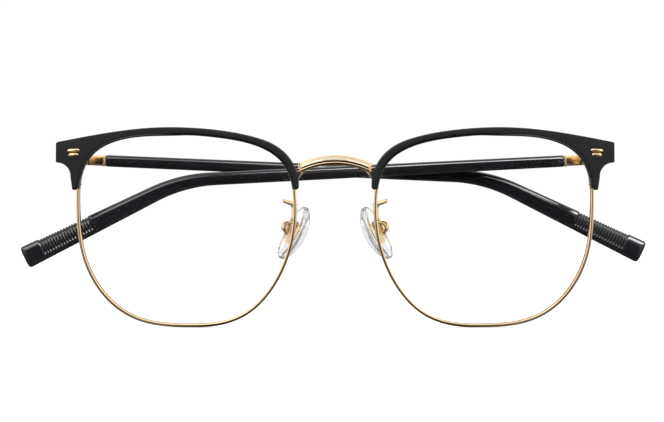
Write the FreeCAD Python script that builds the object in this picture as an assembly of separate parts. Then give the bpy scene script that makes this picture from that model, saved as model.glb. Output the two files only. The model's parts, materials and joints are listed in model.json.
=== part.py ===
import FreeCAD, Part
import math
import os
from FreeCAD import Placement, Rotation, Vector

# Browline glasses, folded, in millimetres.
# +X points to the wearer's left, +Y back towards the wearer and +Z up.
# The origin lies midway between the two nose pads.

# Lenses and the curve of the front
lens_width = 51.8
lens_height = 45.7
bridge_width = 18.8
lens_thickness = 1.2
base_radius = 170.0
wrap_angle = 4.0
front_tilt = 5.0
front_setback = 10.0
lens_rise = 1.5

# Eyewires
wire_width = 0.8
wire_front = 1.05
wire_back = 1.15
lens_seat = 0.5
fit_gap = 0.03
saw_cut = 0.25

# Lens opening as parts of its half width (temple side positive) and half height
opening_shape = [
    (0.03, 1.0), (0.40, 0.985), (0.70, 0.913), (0.905, 0.752), (0.988, 0.528), (1.0, 0.25),
    (0.948, -0.279), (0.850, -0.541), (0.665, -0.793), (0.4575, -0.931), (0.0, -1.0),
    (-0.297, -0.979), (-0.547, -0.873), (-0.774, -0.618), (-0.967, -0.109), (-1.0, 0.231),
    (-0.892, 0.719), (-0.75, 0.844), (-0.5236, 0.935), (-0.25, 0.983),
]

# Top edge of the brow from its nasal end to where its outer end starts, in the same parts
brow_shape = [
    (-1.048, 0.445), (-1.024, 0.637), (-0.898, 0.843), (-0.6, 0.996), (-0.155, 1.074),
    (0.29, 1.082), (0.74, 1.023),
]

# Brow caps, their plates and rivets
brow_end_reach = 5.74
brow_end_level = 0.9222
brow_end_height = 4.9
brow_end_radius = 0.5
brow_leg_width = 2.1
brow_leg_taper = 0.4
brow_leg_end = 0.417
brow_hollow = 3.2
brow_end_flat = 0.1
nasal_cut_length = 7.25
nasal_cut_angle = 28.0
cap_front = 1.75
cap_back = 0.35
plate_setback = 0.1
rivet_lengths = (3.15, 2.55)
rivet_height = 0.84
rivet_pitch = 1.02
rivet_proud = 0.4
rivet_shank_radius = 0.3
rivet_slope = 3.0
rivet_inset = 4.4

# Closing blocks
lock_height = 0.54
lug_width = 1.8
lug_depth = 1.9
lug_height = 1.75
lock_screw_radius = 0.45

# Screw heads as parts of their shank's radius
head_ratio = 1.6
head_height_ratio = 0.9
slot_ratio = 0.35

# Bridge
bridge_climb = 7.85
bridge_rise = 2.1
bridge_height = 2.3
bridge_depth = 1.7
bridge_inset = 0.7
groove_place = 0.58
groove_height = 0.3
groove_depth = 0.45
brace_radius = 0.42
brace_sink = 0.25
brace_foot_drop = 5.7

# Brace as parts of its half span and of its drop
brace_shape = [(-1.03, 1.0), (-0.84, 0.28), (-0.43, 0.05), (0, 0), (0.43, 0.05), (0.84, 0.28), (1.03, 1.0)]

# Nose pads, their boxes and arms
pad_spread = 10.1
pad_length = 13.8
pad_width = 6.4
pad_thickness = 1.5
pad_crown = 1.8
pad_lean = 27.5
pad_splay = 28.0
pad_lift = 0.8
pad_rounding = 0.6
insert_thickness = 0.5
insert_length = 6.0
insert_width = 3.0
neck_width = 0.7
eye_standoff = 0.3
eye_play = 0.1
eye_radius = 0.6
pad_screw_radius = 0.38
pad_run_gap = 0.04
box_strip = 0.55
box_width = 2.0
box_radius = 1.6
box_reach = 0.6
box_slack = 0.25
arm_radius = 0.53
arm_height = 7.6
arm_bend = 0.95
arm_root_run = 1.5
arm_loop_out = 1.9
arm_loop_back = 3.2
arm_loop_rise = 0.8
arm_rise = 1.1
bend_room = 0.48

# Pad outline as parts of its half width and half length
pad_shape = [(0, 1), (0.78, 0.62), (1, 0), (0.8, -0.6), (0, -1), (-0.72, -0.6), (-0.9, 0), (-0.7, 0.62)]

# End pieces and hinges
hinge_inboard = 5.14
hinge_y = 2.2
hinge_drop = 2.063
hinge_inset = 1.25
hinge_screw_radius = 0.46
hinge_run_gap = 0.04
knuckle_radius = 1.05
knuckle_height = 0.94
knuckle_gap = 0.06
leaf_thickness = 0.6
leaf_length = 3.1
temple_leaf_length = 1.0
leaf_start = 1.5
web_reach = 1.0
seat_gap = 0.1
end_thickness = 2.6
end_height = 2.5
foot_margin = 0.2
foot_thickness = 1.0
open_splay = 1.5
butt_gap = 0.12

# Temples
temple_length = 140.0
ferrule_length = 5.95
ferrule_height = 2.55
ferrule_thickness = 2.4
ferrule_chamfer = 0.35
temple_bend = 23.4
tip_run = 49.2
bend_radius = 36.0
temple_start_height = 2.85
temple_bend_height = 3.15
temple_tip_height = 5.5
temple_start_thickness = 2.7
temple_tip_thickness = 3.5
temple_corner = 0.95
tip_rounding = 0.7
rib_count = 18
rib_pitch = 0.74
rib_recess = 0.1
rib_depth = 0.32
tip_cap_length = 4.8
core_radius = 0.55
core_start = 3.5
core_end_margin = 12.0

# Folded positions: angle past parallel with the front, and downward slope
left_fold = 2.0
right_fold = -1.5
left_droop = 2.95
right_droop = 2.45

half_width = lens_width / 2.0 - lens_seat
half_height = lens_height / 2.0 - lens_seat
lens_pitch = lens_width + bridge_width
brow_end_p = half_width + brow_end_reach
brow_end_top = brow_end_level * half_height
brow_end_middle = brow_end_top - brow_end_height / 2.0
brow_nasal_end = lens_rise + brow_shape[0][1] * half_height
bridge_top = brow_nasal_end + bridge_climb
bridge_half_span = bridge_width / 2.0 - bridge_inset
hinge_x = lens_pitch / 2.0 + brow_end_p - hinge_inboard
hinge_z = lens_rise + brow_end_middle - hinge_drop
bend_start = temple_length - tip_run
solder_gap = fit_gap / 3.0
reach = 40.0
bend_share = 1.0 - math.sqrt(0.5)


def turned(shape, placement):
    return shape.transformed(placement.toMatrix(), True)


def mirrored(shape):
    return shape.mirror(Vector(0, 0, 0), Vector(1, 0, 0))


def spin(x, y, z, angle):
    return Placement(Vector(0, 0, 0), Rotation(Vector(x, y, z), angle))


def shift(x, y, z):
    return Placement(Vector(x, y, z), Rotation())


# The front leans forwards at the top; each lens is also turned back at its temple side.
front_frame = spin(1, 0, 0, front_tilt)
lens_frame = front_frame.multiply(
    shift(lens_pitch / 2.0, -front_setback, lens_rise).multiply(spin(0, 0, 1, wrap_angle))
)


def box(low, high):
    size = high - low
    return Part.makeBox(size.x, size.y, size.z, low)


def rod(radius, start, end):
    return Part.makeCylinder(radius, (end - start).Length, start, end - start)


def flat(x, z):
    return Vector(x, 0, z)


def line(start, end):
    return Part.LineSegment(start, end).toShape()


def arc(start, middle, end):
    return Part.Arc(start, middle, end).toShape()


def curve_through(points, closed=False):
    curve = Part.BSplineCurve()
    curve.interpolate(Points=points, PeriodicFlag=closed)
    return curve


def prism(face, start, end):
    solid = face.extrude(Vector(0, end - start, 0))
    solid.translate(Vector(0, start, 0))
    return solid


def outline_points(shape):
    return [flat(p * half_width, q * half_height) for p, q in shape]


# Points beside a curve that runs clockwise, moved outwards by a distance
def beside(curve, steps, last_step, grow):
    span = curve.LastParameter - curve.FirstParameter
    points = []
    for step in range(steps):
        at = curve.FirstParameter + span * step / last_step
        along = curve.tangent(at)[0]
        points.append(curve.value(at) + Vector(-along.z, 0, along.x) * grow)
    return points


def opening(grow):
    curve = curve_through(outline_points(opening_shape), True)
    if grow:
        steps = 3 * len(opening_shape)
        curve = curve_through(beside(curve, steps, steps, grow), True)
    return Part.Face(Part.Wire(curve.toShape()))


def opening_prism(grow):
    return prism(opening(grow), -reach, reach)


def ball(layer):
    return Part.makeSphere(base_radius + layer, Vector(0, base_radius, 0))


def between(solid, front, back):
    return solid.common(ball(front)).cut(ball(back))


def layer_depth(p, q, layer):
    radius = base_radius + layer
    return base_radius - math.sqrt(radius * radius - p * p - q * q)


# Eyewire with its lens
lens_half = lens_thickness / 2.0
wire_ring = opening_prism(wire_width).cut(opening_prism(0))
lens = between(opening_prism(lens_seat - fit_gap), lens_half, -lens_half)
lens_groove = between(opening_prism(lens_seat), lens_half + fit_gap, -lens_half - fit_gap)
eyewire = between(wire_ring, wire_front, -wire_back).cut(lens_groove)
lock_q = lock_height * half_height
cut_low = Vector(half_width * 0.8, -reach, lock_q - saw_cut / 2.0)
cut_high = Vector(half_width * 1.3, reach, lock_q + saw_cut / 2.0)
eyewire = eyewire.cut(box(cut_low, cut_high))


# Brow outline, moved outwards by a distance: top edge, rounded end, hollow underside, outer leg and
# slanted nasal end
def brow_face(grow):
    top_points = outline_points(brow_shape) + [flat(brow_end_p - brow_end_radius, brow_end_top)]
    top_curve = curve_through(top_points)
    steps = 2 * len(top_points)
    top = beside(top_curve, steps, steps - 1, grow)
    radius = brow_end_radius
    corner = radius * bend_share
    end_p = brow_end_p + grow
    end_top = top[-1].z
    under = brow_end_middle - brow_end_height / 2.0 - grow
    leg_p = half_width + brow_leg_width + grow
    leg_foot_p = leg_p - brow_leg_taper
    leg_low = brow_leg_end * half_height - grow
    inside_p = half_width / 2.0
    hollow_p = end_p - radius - brow_end_flat
    hollow_low = under - brow_hollow
    cut_angle = math.radians(nasal_cut_angle)
    slant = top[0] + flat(math.cos(cut_angle), -math.sin(cut_angle)) * nasal_cut_length
    end_corner = flat(end_p - corner, end_top - corner)
    low_corner = flat(end_p - corner, under + corner)
    hollow_middle = flat(leg_p + (hollow_p - leg_p) * bend_share, under - brow_hollow * bend_share)
    leg_corner = flat(leg_foot_p - corner, leg_low + corner)
    edges = [curve_through(top).toShape()]
    edges.append(arc(top[-1], end_corner, flat(end_p, end_top - radius)))
    edges.append(line(flat(end_p, end_top - radius), flat(end_p, under + radius)))
    edges.append(arc(flat(end_p, under + radius), low_corner, flat(end_p - radius, under)))
    edges.append(line(flat(end_p - radius, under), flat(hollow_p, under)))
    edges.append(arc(flat(hollow_p, under), hollow_middle, flat(leg_p, hollow_low)))
    edges.append(line(flat(leg_p, hollow_low), flat(leg_foot_p, leg_low + radius)))
    edges.append(arc(flat(leg_foot_p, leg_low + radius), leg_corner, flat(leg_foot_p - radius, leg_low)))
    edges.append(line(flat(leg_foot_p - radius, leg_low), flat(inside_p, leg_low)))
    edges.append(line(flat(inside_p, leg_low), slant))
    edges.append(line(slant, top[0]))
    return Part.Face(Part.Wire(edges))


wire_hole = opening_prism(wire_width + fit_gap)
cap = between(prism(brow_face(0), -reach, reach).cut(opening_prism(0)), cap_front, -cap_back)
cap = cap.cut(wire_hole.common(ball(wire_front + fit_gap)))
plate_block = prism(brow_face(-plate_setback), -reach, reach)
plate = between(plate_block.cut(wire_hole), -cap_back - fit_gap, -wire_back)
below_lock = box(Vector(0, -reach, -reach), Vector(2.0 * half_width, reach, lock_q + saw_cut / 2.0))
plate = plate.cut(below_lock)


# Rivet bars on the brow's end, each with a shank through the cap and the plate
def bar_face(p, q, length, height):
    side = length / 2.0 - height / 2.0
    half = height / 2.0
    edges = [line(flat(-side, half), flat(side, half))]
    edges.append(arc(flat(side, half), flat(side + half, 0), flat(side, -half)))
    edges.append(line(flat(side, -half), flat(-side, -half)))
    edges.append(arc(flat(-side, -half), flat(-side - half, 0), flat(-side, half)))
    face = Part.Face(Part.Wire(edges))
    return turned(face, shift(p, 0, q).multiply(spin(0, 1, 0, rivet_slope)))


rivet_p = brow_end_p - rivet_inset
rivets = []
for index, length in enumerate(rivet_lengths):
    q = brow_end_middle + rivet_pitch * (0.5 - index)
    head = prism(bar_face(rivet_p, q, length, rivet_height), -reach, reach)
    head = between(head, cap_front + rivet_proud, cap_front + solder_gap)
    top_depth = layer_depth(rivet_p, q, cap_front + rivet_proud / 2.0)
    low_depth = layer_depth(rivet_p, q, -wire_back)
    shank = rod(rivet_shank_radius, Vector(rivet_p, top_depth, q), Vector(rivet_p, low_depth, q))
    hole = rod(rivet_shank_radius + fit_gap, Vector(rivet_p, -reach, q), Vector(rivet_p, reach, q))
    cap = cap.cut(hole)
    plate = plate.cut(hole)
    rivets.append(head.fuse(shank).removeSplitter())
rivets = Part.Compound(rivets)


# Closing block: two lugs soldered behind the wire, and the screw that pulls them together
lug_back = -wire_back - lug_depth
lug_p = half_width - wire_width / 8.0
lug_face = -wire_back - solder_gap
screw_p = lug_p + lug_width / 2.0
screw_y = layer_depth(screw_p, lock_q, lug_face - lug_depth / 2.0)
lug_top = lock_q + saw_cut / 2.0 + lug_height
lug_low = lock_q - saw_cut / 2.0 - lug_height
screw_low = Vector(screw_p, screw_y, lug_low)
screw_top = Vector(screw_p, screw_y, lug_top)
screw_hole = rod(lock_screw_radius + fit_gap, screw_low, screw_top)
lugs = []
for low in (lock_q + saw_cut / 2.0, lug_low):
    block = box(Vector(lug_p, -reach, low), Vector(lug_p + lug_width, reach, low + lug_height))
    lugs.append(between(block, lug_face, lug_back).cut(screw_hole))
lugs = Part.Compound(lugs)


def slotted_screw(radius, head_radius, start, end):
    along = (end - start).normalize()
    head_height = radius * head_height_ratio
    slot_width = head_radius * slot_ratio
    shank = rod(radius, start, end)
    head = rod(head_radius, start - along * head_height, start)
    slot = box(
        Vector(-2.0 * head_radius, -slot_width / 2.0, 0),
        Vector(2.0 * head_radius, slot_width / 2.0, head_height / 2.0),
    )
    facing = Placement(start - along * head_height, Rotation(Vector(0, 0, 1), along))
    return shank.fuse(head).cut(turned(slot, facing)).removeSplitter()


lock_head = lock_screw_radius * head_ratio
lock_screw = slotted_screw(lock_screw_radius, lock_head, screw_top + Vector(0, 0, solder_gap), screw_low)

front_parts = {
    "lens": lens,
    "eyewire": eyewire,
    "brow_cap": cap,
    "brow_plate": plate,
    "brow_rivets": rivets,
    "closing_block": lugs,
    "closing_screw": lock_screw,
}
left = {name: turned(shape, lens_frame) for name, shape in front_parts.items()}


# Nose pad with its insert, in a frame whose Z runs up the pad and whose X points away from the nose
pad_frame = front_frame.multiply(
    shift(pad_spread, 0, 0).multiply(spin(0, 1, 0, -pad_lean).multiply(spin(0, 0, 1, -pad_splay)))
)
pad_half = pad_thickness / 2.0
pad_nose = -pad_half - pad_crown
pad_points = [Vector(pad_nose, y * pad_width / 2.0, z * pad_length / 2.0) for y, z in pad_shape]
pad_face = Part.Face(Part.Wire(curve_through(pad_points, True).toShape()))
crown_radius = (pad_length * pad_length / 4.0 + pad_crown * pad_crown) / (2.0 * pad_crown)
pad = pad_face.extrude(Vector(pad_thickness + pad_crown, 0, 0))
pad = pad.common(Part.makeSphere(crown_radius, Vector(pad_nose + crown_radius, 0, 0)))
rims = [edge for edge in pad.Edges if edge.Length > pad_length]
pad = pad.makeFillet(pad_rounding, rims)

eye_x = pad_half + eye_standoff + eye_radius
eye_half = box_radius - box_strip - eye_play
eye_low = Vector(eye_x, 0, pad_lift - eye_half)
eye_top = Vector(eye_x, 0, pad_lift + eye_half)
axis_low = Vector(eye_x, 0, pad_lift - reach)
axis_top = Vector(eye_x, 0, pad_lift + reach)
insert = box(
    Vector(-insert_thickness / 2.0, -insert_width / 2.0, -insert_length / 2.0),
    Vector(insert_thickness / 2.0, insert_width / 2.0, insert_length / 2.0),
)
insert_ends = [edge for edge in insert.Edges if edge.BoundBox.XLength > insert_thickness / 2.0]
insert = insert.makeFillet(insert_width * 0.4, insert_ends)
neck = box(Vector(0, -neck_width / 2.0, eye_low.z), Vector(eye_x, neck_width / 2.0, eye_top.z))
eye = rod(eye_radius, eye_low, eye_top)
eye_hole = rod(pad_screw_radius + pad_run_gap, axis_low, axis_top)
insert = insert.fuse([neck, eye]).removeSplitter()
pad = pad.cut(insert)
insert = insert.cut(eye_hole)


# Pad box: a strip bent to a C round the eye, open towards the pad
def strip_face(radius, start, middle):
    edges = [line(Vector(start, 0, pad_lift + radius), Vector(middle, 0, pad_lift + radius))]
    edges.append(
        arc(
            Vector(middle, 0, pad_lift + radius),
            Vector(middle + radius, 0, pad_lift),
            Vector(middle, 0, pad_lift - radius),
        )
    )
    edges.append(line(Vector(middle, 0, pad_lift - radius), Vector(start, 0, pad_lift - radius)))
    edges.append(line(Vector(start, 0, pad_lift - radius), Vector(start, 0, pad_lift + radius)))
    return Part.Face(Part.Wire(edges))


box_start = eye_x - box_reach
box_middle = eye_x + box_slack
box_block = prism(strip_face(box_radius, box_start, box_middle), -box_width / 2.0, box_width / 2.0)
box_space = prism(strip_face(box_radius - box_strip, box_start - box_reach, box_middle), -reach, reach)
box_hole = rod(pad_screw_radius + fit_gap, axis_low, axis_top)
pad_box = box_block.cut(box_space).cut(box_hole)
pad_screw = slotted_screw(
    pad_screw_radius,
    pad_screw_radius * head_ratio,
    Vector(eye_x, 0, pad_lift - box_radius - solder_gap),
    Vector(eye_x, 0, pad_lift + box_radius),
)


# Pad arm: wire from the back of the eyewire, out and round in a loop, then down to the box
def rounded_path(points, radius):
    edges = []
    start = points[0]
    for before, corner, after in zip(points, points[1:], points[2:]):
        back = (before - corner).normalize()
        ahead = (after - corner).normalize()
        half_angle = back.getAngle(ahead) / 2.0
        shorter = min((before - corner).Length, (after - corner).Length)
        cut = min(radius / math.tan(half_angle), shorter * bend_room)
        first = corner + back * cut
        last = corner + ahead * cut
        bend = cut * math.tan(half_angle)
        towards = (back + ahead).normalize()
        middle = corner + towards * (bend / math.sin(half_angle) - bend)
        edges.append(line(start, first))
        edges.append(arc(first, middle, last))
        start = last
    edges.append(line(start, points[-1]))
    return Part.Wire(edges)


def wire_along(path, radius):
    first = path.OrderedEdges[0]
    at = first.valueAt(first.FirstParameter)
    ring = Part.Wire(Part.Circle(at, first.tangentAt(first.FirstParameter), radius).toShape())
    return path.makePipeShell([ring], True, False)


arm_q = arm_height - lens_rise
arm_p = -half_width - wire_width / 2.0
root_depth = layer_depth(arm_p, arm_q, -wire_back) - arm_radius / 2.0
root = lens_frame.multVec(Vector(arm_p, root_depth, arm_q))
into_box = pad_frame.multVec(Vector(box_middle, 0, pad_lift + box_radius / 2.0))
above_box = pad_frame.multVec(Vector(box_middle, 0, pad_lift + box_radius + arm_rise))
loop_x = pad_spread + arm_loop_out
loop_y = root.y + arm_loop_back
loop_z = root.z + arm_loop_rise
arm_points = [
    root,
    Vector(root.x, root.y + arm_root_run, root.z),
    Vector(loop_x, loop_y, loop_z),
    Vector(loop_x, loop_y + 2.0 * arm_bend, loop_z),
    Vector(above_box.x, above_box.y, root.z),
    above_box,
    into_box,
]
pad_arm = wire_along(rounded_path(arm_points, arm_bend), arm_radius)
behind_wire = Part.makeSphere(base_radius + lug_face, lens_frame.multVec(Vector(0, base_radius, 0)))
pad_arm = pad_arm.common(behind_wire).cut(turned(box_block, pad_frame))

pad_parts = {
    "nose_pad": pad,
    "pad_insert": insert,
    "pad_box": pad_box,
    "pad_screw": pad_screw,
}
left.update({name: turned(shape, pad_frame) for name, shape in pad_parts.items()})
left["pad_arm"] = pad_arm


# End piece and hinge, in a frame at the hinge pin: X outwards, Y back, Z along the pin
knuckle_stack = 3.0 * knuckle_height + 2.0 * knuckle_gap
tongue_half = knuckle_height / 2.0
ferrule_inner = hinge_inset + seat_gap
temple_y = ferrule_inner + ferrule_thickness / 2.0


def hinge_frame(droop):
    return shift(hinge_x, hinge_y, hinge_z).multiply(spin(0, 1, 0, -droop))


def end_piece(droop):
    outer = hinge_inset + end_thickness
    slope = math.tan(math.radians(open_splay))
    points = [
        Vector(hinge_inset, -reach / 2.0, -end_height / 2.0),
        Vector(outer, -reach / 2.0, -end_height / 2.0),
        Vector(outer, -outer * slope, -end_height / 2.0),
        Vector(hinge_inset, -hinge_inset * slope, -end_height / 2.0),
    ]
    arm = Part.Face(Part.makePolygon(points + points[:1])).extrude(Vector(0, 0, end_height))
    arm = turned(arm, hinge_frame(droop))
    foot_low = brow_end_middle - brow_end_height / 2.0 + foot_margin
    foot = box(
        Vector(half_width + brow_leg_width / 2.0, -reach, foot_low),
        Vector(brow_end_p - foot_margin, reach, foot_low + end_height),
    )
    foot = turned(between(foot, lug_face, lug_face - foot_thickness), lens_frame)
    behind_brow = turned(prism(brow_face(-foot_margin), -reach, reach), lens_frame)
    return arm.common(behind_brow).common(behind_wire).fuse(foot).removeSplitter()


def knuckle(low, high):
    barrel = rod(knuckle_radius, Vector(0, 0, low), Vector(0, 0, high))
    web = box(Vector(0, -leaf_start - web_reach, low), Vector(knuckle_radius, 0, high))
    return barrel.fuse(web)


def front_leaf():
    leaf = box(
        Vector(hinge_inset - leaf_thickness, -leaf_start - leaf_length, -knuckle_stack / 2.0),
        Vector(hinge_inset, -leaf_start, knuckle_stack / 2.0),
    )
    ears = [
        knuckle(tongue_half + knuckle_gap, knuckle_stack / 2.0),
        knuckle(-knuckle_stack / 2.0, -tongue_half - knuckle_gap),
    ]
    hole = rod(hinge_screw_radius + fit_gap / 2.0, Vector(0, 0, -reach), Vector(0, 0, reach))
    return leaf.fuse(ears).removeSplitter().cut(hole)


def hinge_screw():
    return slotted_screw(
        hinge_screw_radius,
        hinge_screw_radius * head_ratio,
        Vector(0, 0, knuckle_stack / 2.0 + solder_gap),
        Vector(0, 0, -knuckle_stack / 2.0),
    )


def temple_leaf():
    leaf = box(
        Vector(-leaf_start - temple_leaf_length, ferrule_inner - leaf_thickness, -ferrule_height / 2.0),
        Vector(-leaf_start, ferrule_inner, ferrule_height / 2.0),
    )
    barrel = rod(knuckle_radius, Vector(0, 0, -tongue_half), Vector(0, 0, tongue_half))
    web = box(
        Vector(-leaf_start - web_reach, 0, -tongue_half),
        Vector(0, knuckle_radius, tongue_half),
    )
    hole = rod(hinge_screw_radius + hinge_run_gap, Vector(0, 0, -reach), Vector(0, 0, reach))
    return leaf.fuse([barrel, web]).removeSplitter().cut(hole)


# Temple: straight from the ferrule, bent down behind the ear, then straight to the tip
bend_length = bend_radius * math.radians(temple_bend)


def station(along):
    angle = min(max(along - bend_start, 0.0) / bend_radius, math.radians(temple_bend))
    straight = min(along, bend_start)
    after = max(along - bend_start - bend_length, 0.0)
    forward = Vector(-math.cos(angle), 0, -math.sin(angle))
    up = Vector(-math.sin(angle), 0, math.cos(angle))
    back = straight + bend_radius * math.sin(angle)
    down = bend_radius * (1.0 - math.cos(angle))
    return Vector(-back, temple_y, -down) + forward * after, up


def temple_size(along):
    if along < bend_start:
        part = (along - ferrule_length) / (bend_start - ferrule_length)
        height = temple_start_height + (temple_bend_height - temple_start_height) * part
    else:
        part = (along - bend_start) / (temple_length - bend_start)
        height = temple_bend_height + (temple_tip_height - temple_bend_height) * part
    share = (along - ferrule_length) / (temple_length - ferrule_length)
    thickness = temple_start_thickness + (temple_tip_thickness - temple_start_thickness) * share
    return height, thickness


def section(along, side_trim, low_trim):
    point, up = station(along)
    height, thickness = temple_size(along)
    side = Vector(0, 1, 0)
    middle = point + up * ((low_trim - side_trim) / 2.0)
    half_h = (height - side_trim - low_trim) / 2.0
    half_t = thickness / 2.0 - side_trim
    radius = min(temple_corner, 0.8 * half_t, 0.8 * half_h)
    corners = []
    for sign_t, sign_h in ((1, 1), (1, -1), (-1, -1), (-1, 1)):
        centre = middle + side * (sign_t * (half_t - radius)) + up * (sign_h * (half_h - radius))
        by_side = centre + side * (sign_t * radius)
        by_up = centre + up * (sign_h * radius)
        diagonal = centre + (side * sign_t + up * sign_h) * (radius * math.sqrt(0.5))
        if sign_t == sign_h:
            corners.append((by_up, diagonal, by_side))
        else:
            corners.append((by_side, diagonal, by_up))
    edges = []
    for index, (first, diagonal, last) in enumerate(corners):
        edges.append(arc(first, diagonal, last))
        edges.append(line(last, corners[(index + 1) % 4][0]))
    return Part.Wire(edges)


def loft(sections):
    solid = Part.makeLoft(sections, True, False)
    if solid.Volume < 0:
        solid.reverse()
    return solid


def loft_at(stops, side_trim, low_trim):
    return loft([section(at, side_trim, low_trim) for at in stops])


def rounded_end():
    sections = []
    for step in range(6):
        turn = math.pi / 2.0 * step / 5.0
        trim = tip_rounding * (1.0 - math.cos(turn))
        sections.append(section(temple_length - tip_rounding * (1.0 - math.sin(turn)), trim, trim))
    return loft(sections)


def temple():
    bend_end = bend_start + bend_length
    ribs_start = temple_length - tip_cap_length - rib_count * rib_pitch
    ribs_end = temple_length - tip_cap_length
    shaft = loft_at([ferrule_length + solder_gap, bend_start], 0.0, 0.0)
    pieces = [loft_at([bend_start + bend_length * step / 4.0 for step in range(5)], 0.0, 0.0)]
    pieces.append(loft_at([bend_end, ribs_start], 0.0, 0.0))
    for index in range(rib_count):
        at = ribs_start + index * rib_pitch
        pieces.append(loft_at([at, at + rib_pitch / 2.0], rib_depth, 0.0))
        pieces.append(loft_at([at + rib_pitch / 2.0, at + rib_pitch], rib_recess, 0.0))
    pieces.append(loft_at([ribs_end, temple_length - tip_rounding], 0.0, 0.0))
    pieces.append(rounded_end())
    return shaft.fuse(pieces)


def core_path(start, end):
    first = station(start)[0]
    bend_first = station(bend_start)[0]
    bend_middle = station(bend_start + bend_length / 2.0)[0]
    bend_last = station(bend_start + bend_length)[0]
    last = station(end)[0]
    bend = arc(bend_first, bend_middle, bend_last)
    return Part.Wire([line(first, bend_first), bend, line(bend_last, last)])


def ferrule():
    sleeve = box(
        Vector(-ferrule_length, ferrule_inner, -ferrule_height / 2.0),
        Vector(-butt_gap, ferrule_inner + ferrule_thickness, ferrule_height / 2.0),
    )
    long_edges = [edge for edge in sleeve.Edges if edge.BoundBox.XLength > ferrule_length / 2.0]
    return sleeve.makeChamfer(ferrule_chamfer, long_edges)


core_end = temple_length - core_end_margin
core = wire_along(core_path(core_start, core_end), core_radius)
core_hole = wire_along(core_path(core_start - fit_gap, core_end + fit_gap), core_radius + fit_gap)
temple_parts = {
    "temple": temple().cut(core_hole),
    "core_wire": core,
    "ferrule": ferrule().cut(core_hole),
    "hinge_temple_leaf": temple_leaf(),
}
hinge_parts = {"hinge_front_leaf": front_leaf(), "hinge_screw": hinge_screw()}


def temple_side(droop, fold):
    side = {"endpiece": end_piece(droop)}
    frame = hinge_frame(droop)
    folded = frame.multiply(spin(0, 0, 1, fold))
    side.update({name: turned(shape, frame) for name, shape in hinge_parts.items()})
    side.update({name: turned(shape, folded) for name, shape in temple_parts.items()})
    return side


# Bridge: grooved arch with a thin brace behind it that runs down to the eyewires
def arch_face(top, height):
    low_end = top - bridge_rise
    edges = [arc(flat(-bridge_half_span, low_end), flat(0, top), flat(bridge_half_span, low_end))]
    edges.append(line(flat(bridge_half_span, low_end), flat(bridge_half_span, low_end - height)))
    edges.append(
        arc(
            flat(bridge_half_span, low_end - height),
            flat(0, top - height),
            flat(-bridge_half_span, low_end - height),
        )
    )
    edges.append(line(flat(-bridge_half_span, low_end - height), flat(-bridge_half_span, low_end)))
    return Part.Face(Part.Wire(edges))


bridge_front = -front_setback
bridge_back = bridge_front + bridge_depth
bar = prism(arch_face(bridge_top, bridge_height), bridge_front, bridge_back)
groove_face = arch_face(bridge_top - groove_place * bridge_height, groove_height)
bar = bar.cut(prism(groove_face, bridge_front - groove_depth, bridge_front + groove_depth))
brace_y = bridge_back - brace_radius
brace_top = bridge_top - bridge_height - brace_radius + brace_sink
brace_drop = brace_top - bridge_top + brace_foot_drop
brace_points = []
for x, drop in brace_shape:
    brace_points.append(Vector(x * bridge_half_span, brace_y, brace_top - drop * brace_drop))
brace = wire_along(Part.Wire(curve_through(brace_points).toShape()), brace_radius)
bridge = turned(bar.fuse(brace).removeSplitter(), front_frame)
cap_space = prism(brow_face(solder_gap), -reach, reach)
for block in (cap_space, opening_prism(wire_width + solder_gap)):
    side_block = turned(block, lens_frame)
    bridge = bridge.cut(side_block).cut(mirrored(side_block))

nodes = {"bridge": bridge}
for name, shape in left.items():
    nodes["left_" + name] = shape
    nodes["right_" + name] = mirrored(shape)
for name, shape in temple_side(left_droop, left_fold).items():
    nodes["left_" + name] = shape
for name, shape in temple_side(right_droop, right_fold).items():
    nodes["right_" + name] = mirrored(shape)

os.makedirs("parts", exist_ok=True)
for name, shape in nodes.items():
    shape.exportStep("parts/" + name + ".step")
    print(name, shape.isValid(), len(shape.Solids), round(shape.Volume, 3))
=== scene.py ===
import json
import logging
import math
from dataclasses import dataclass, field
from enum import Enum
from typing import Any, Callable

import bmesh
import bpy
import numpy as np
from mathutils import Matrix, Vector
from mathutils.geometry import delaunay_2d_cdt

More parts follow.
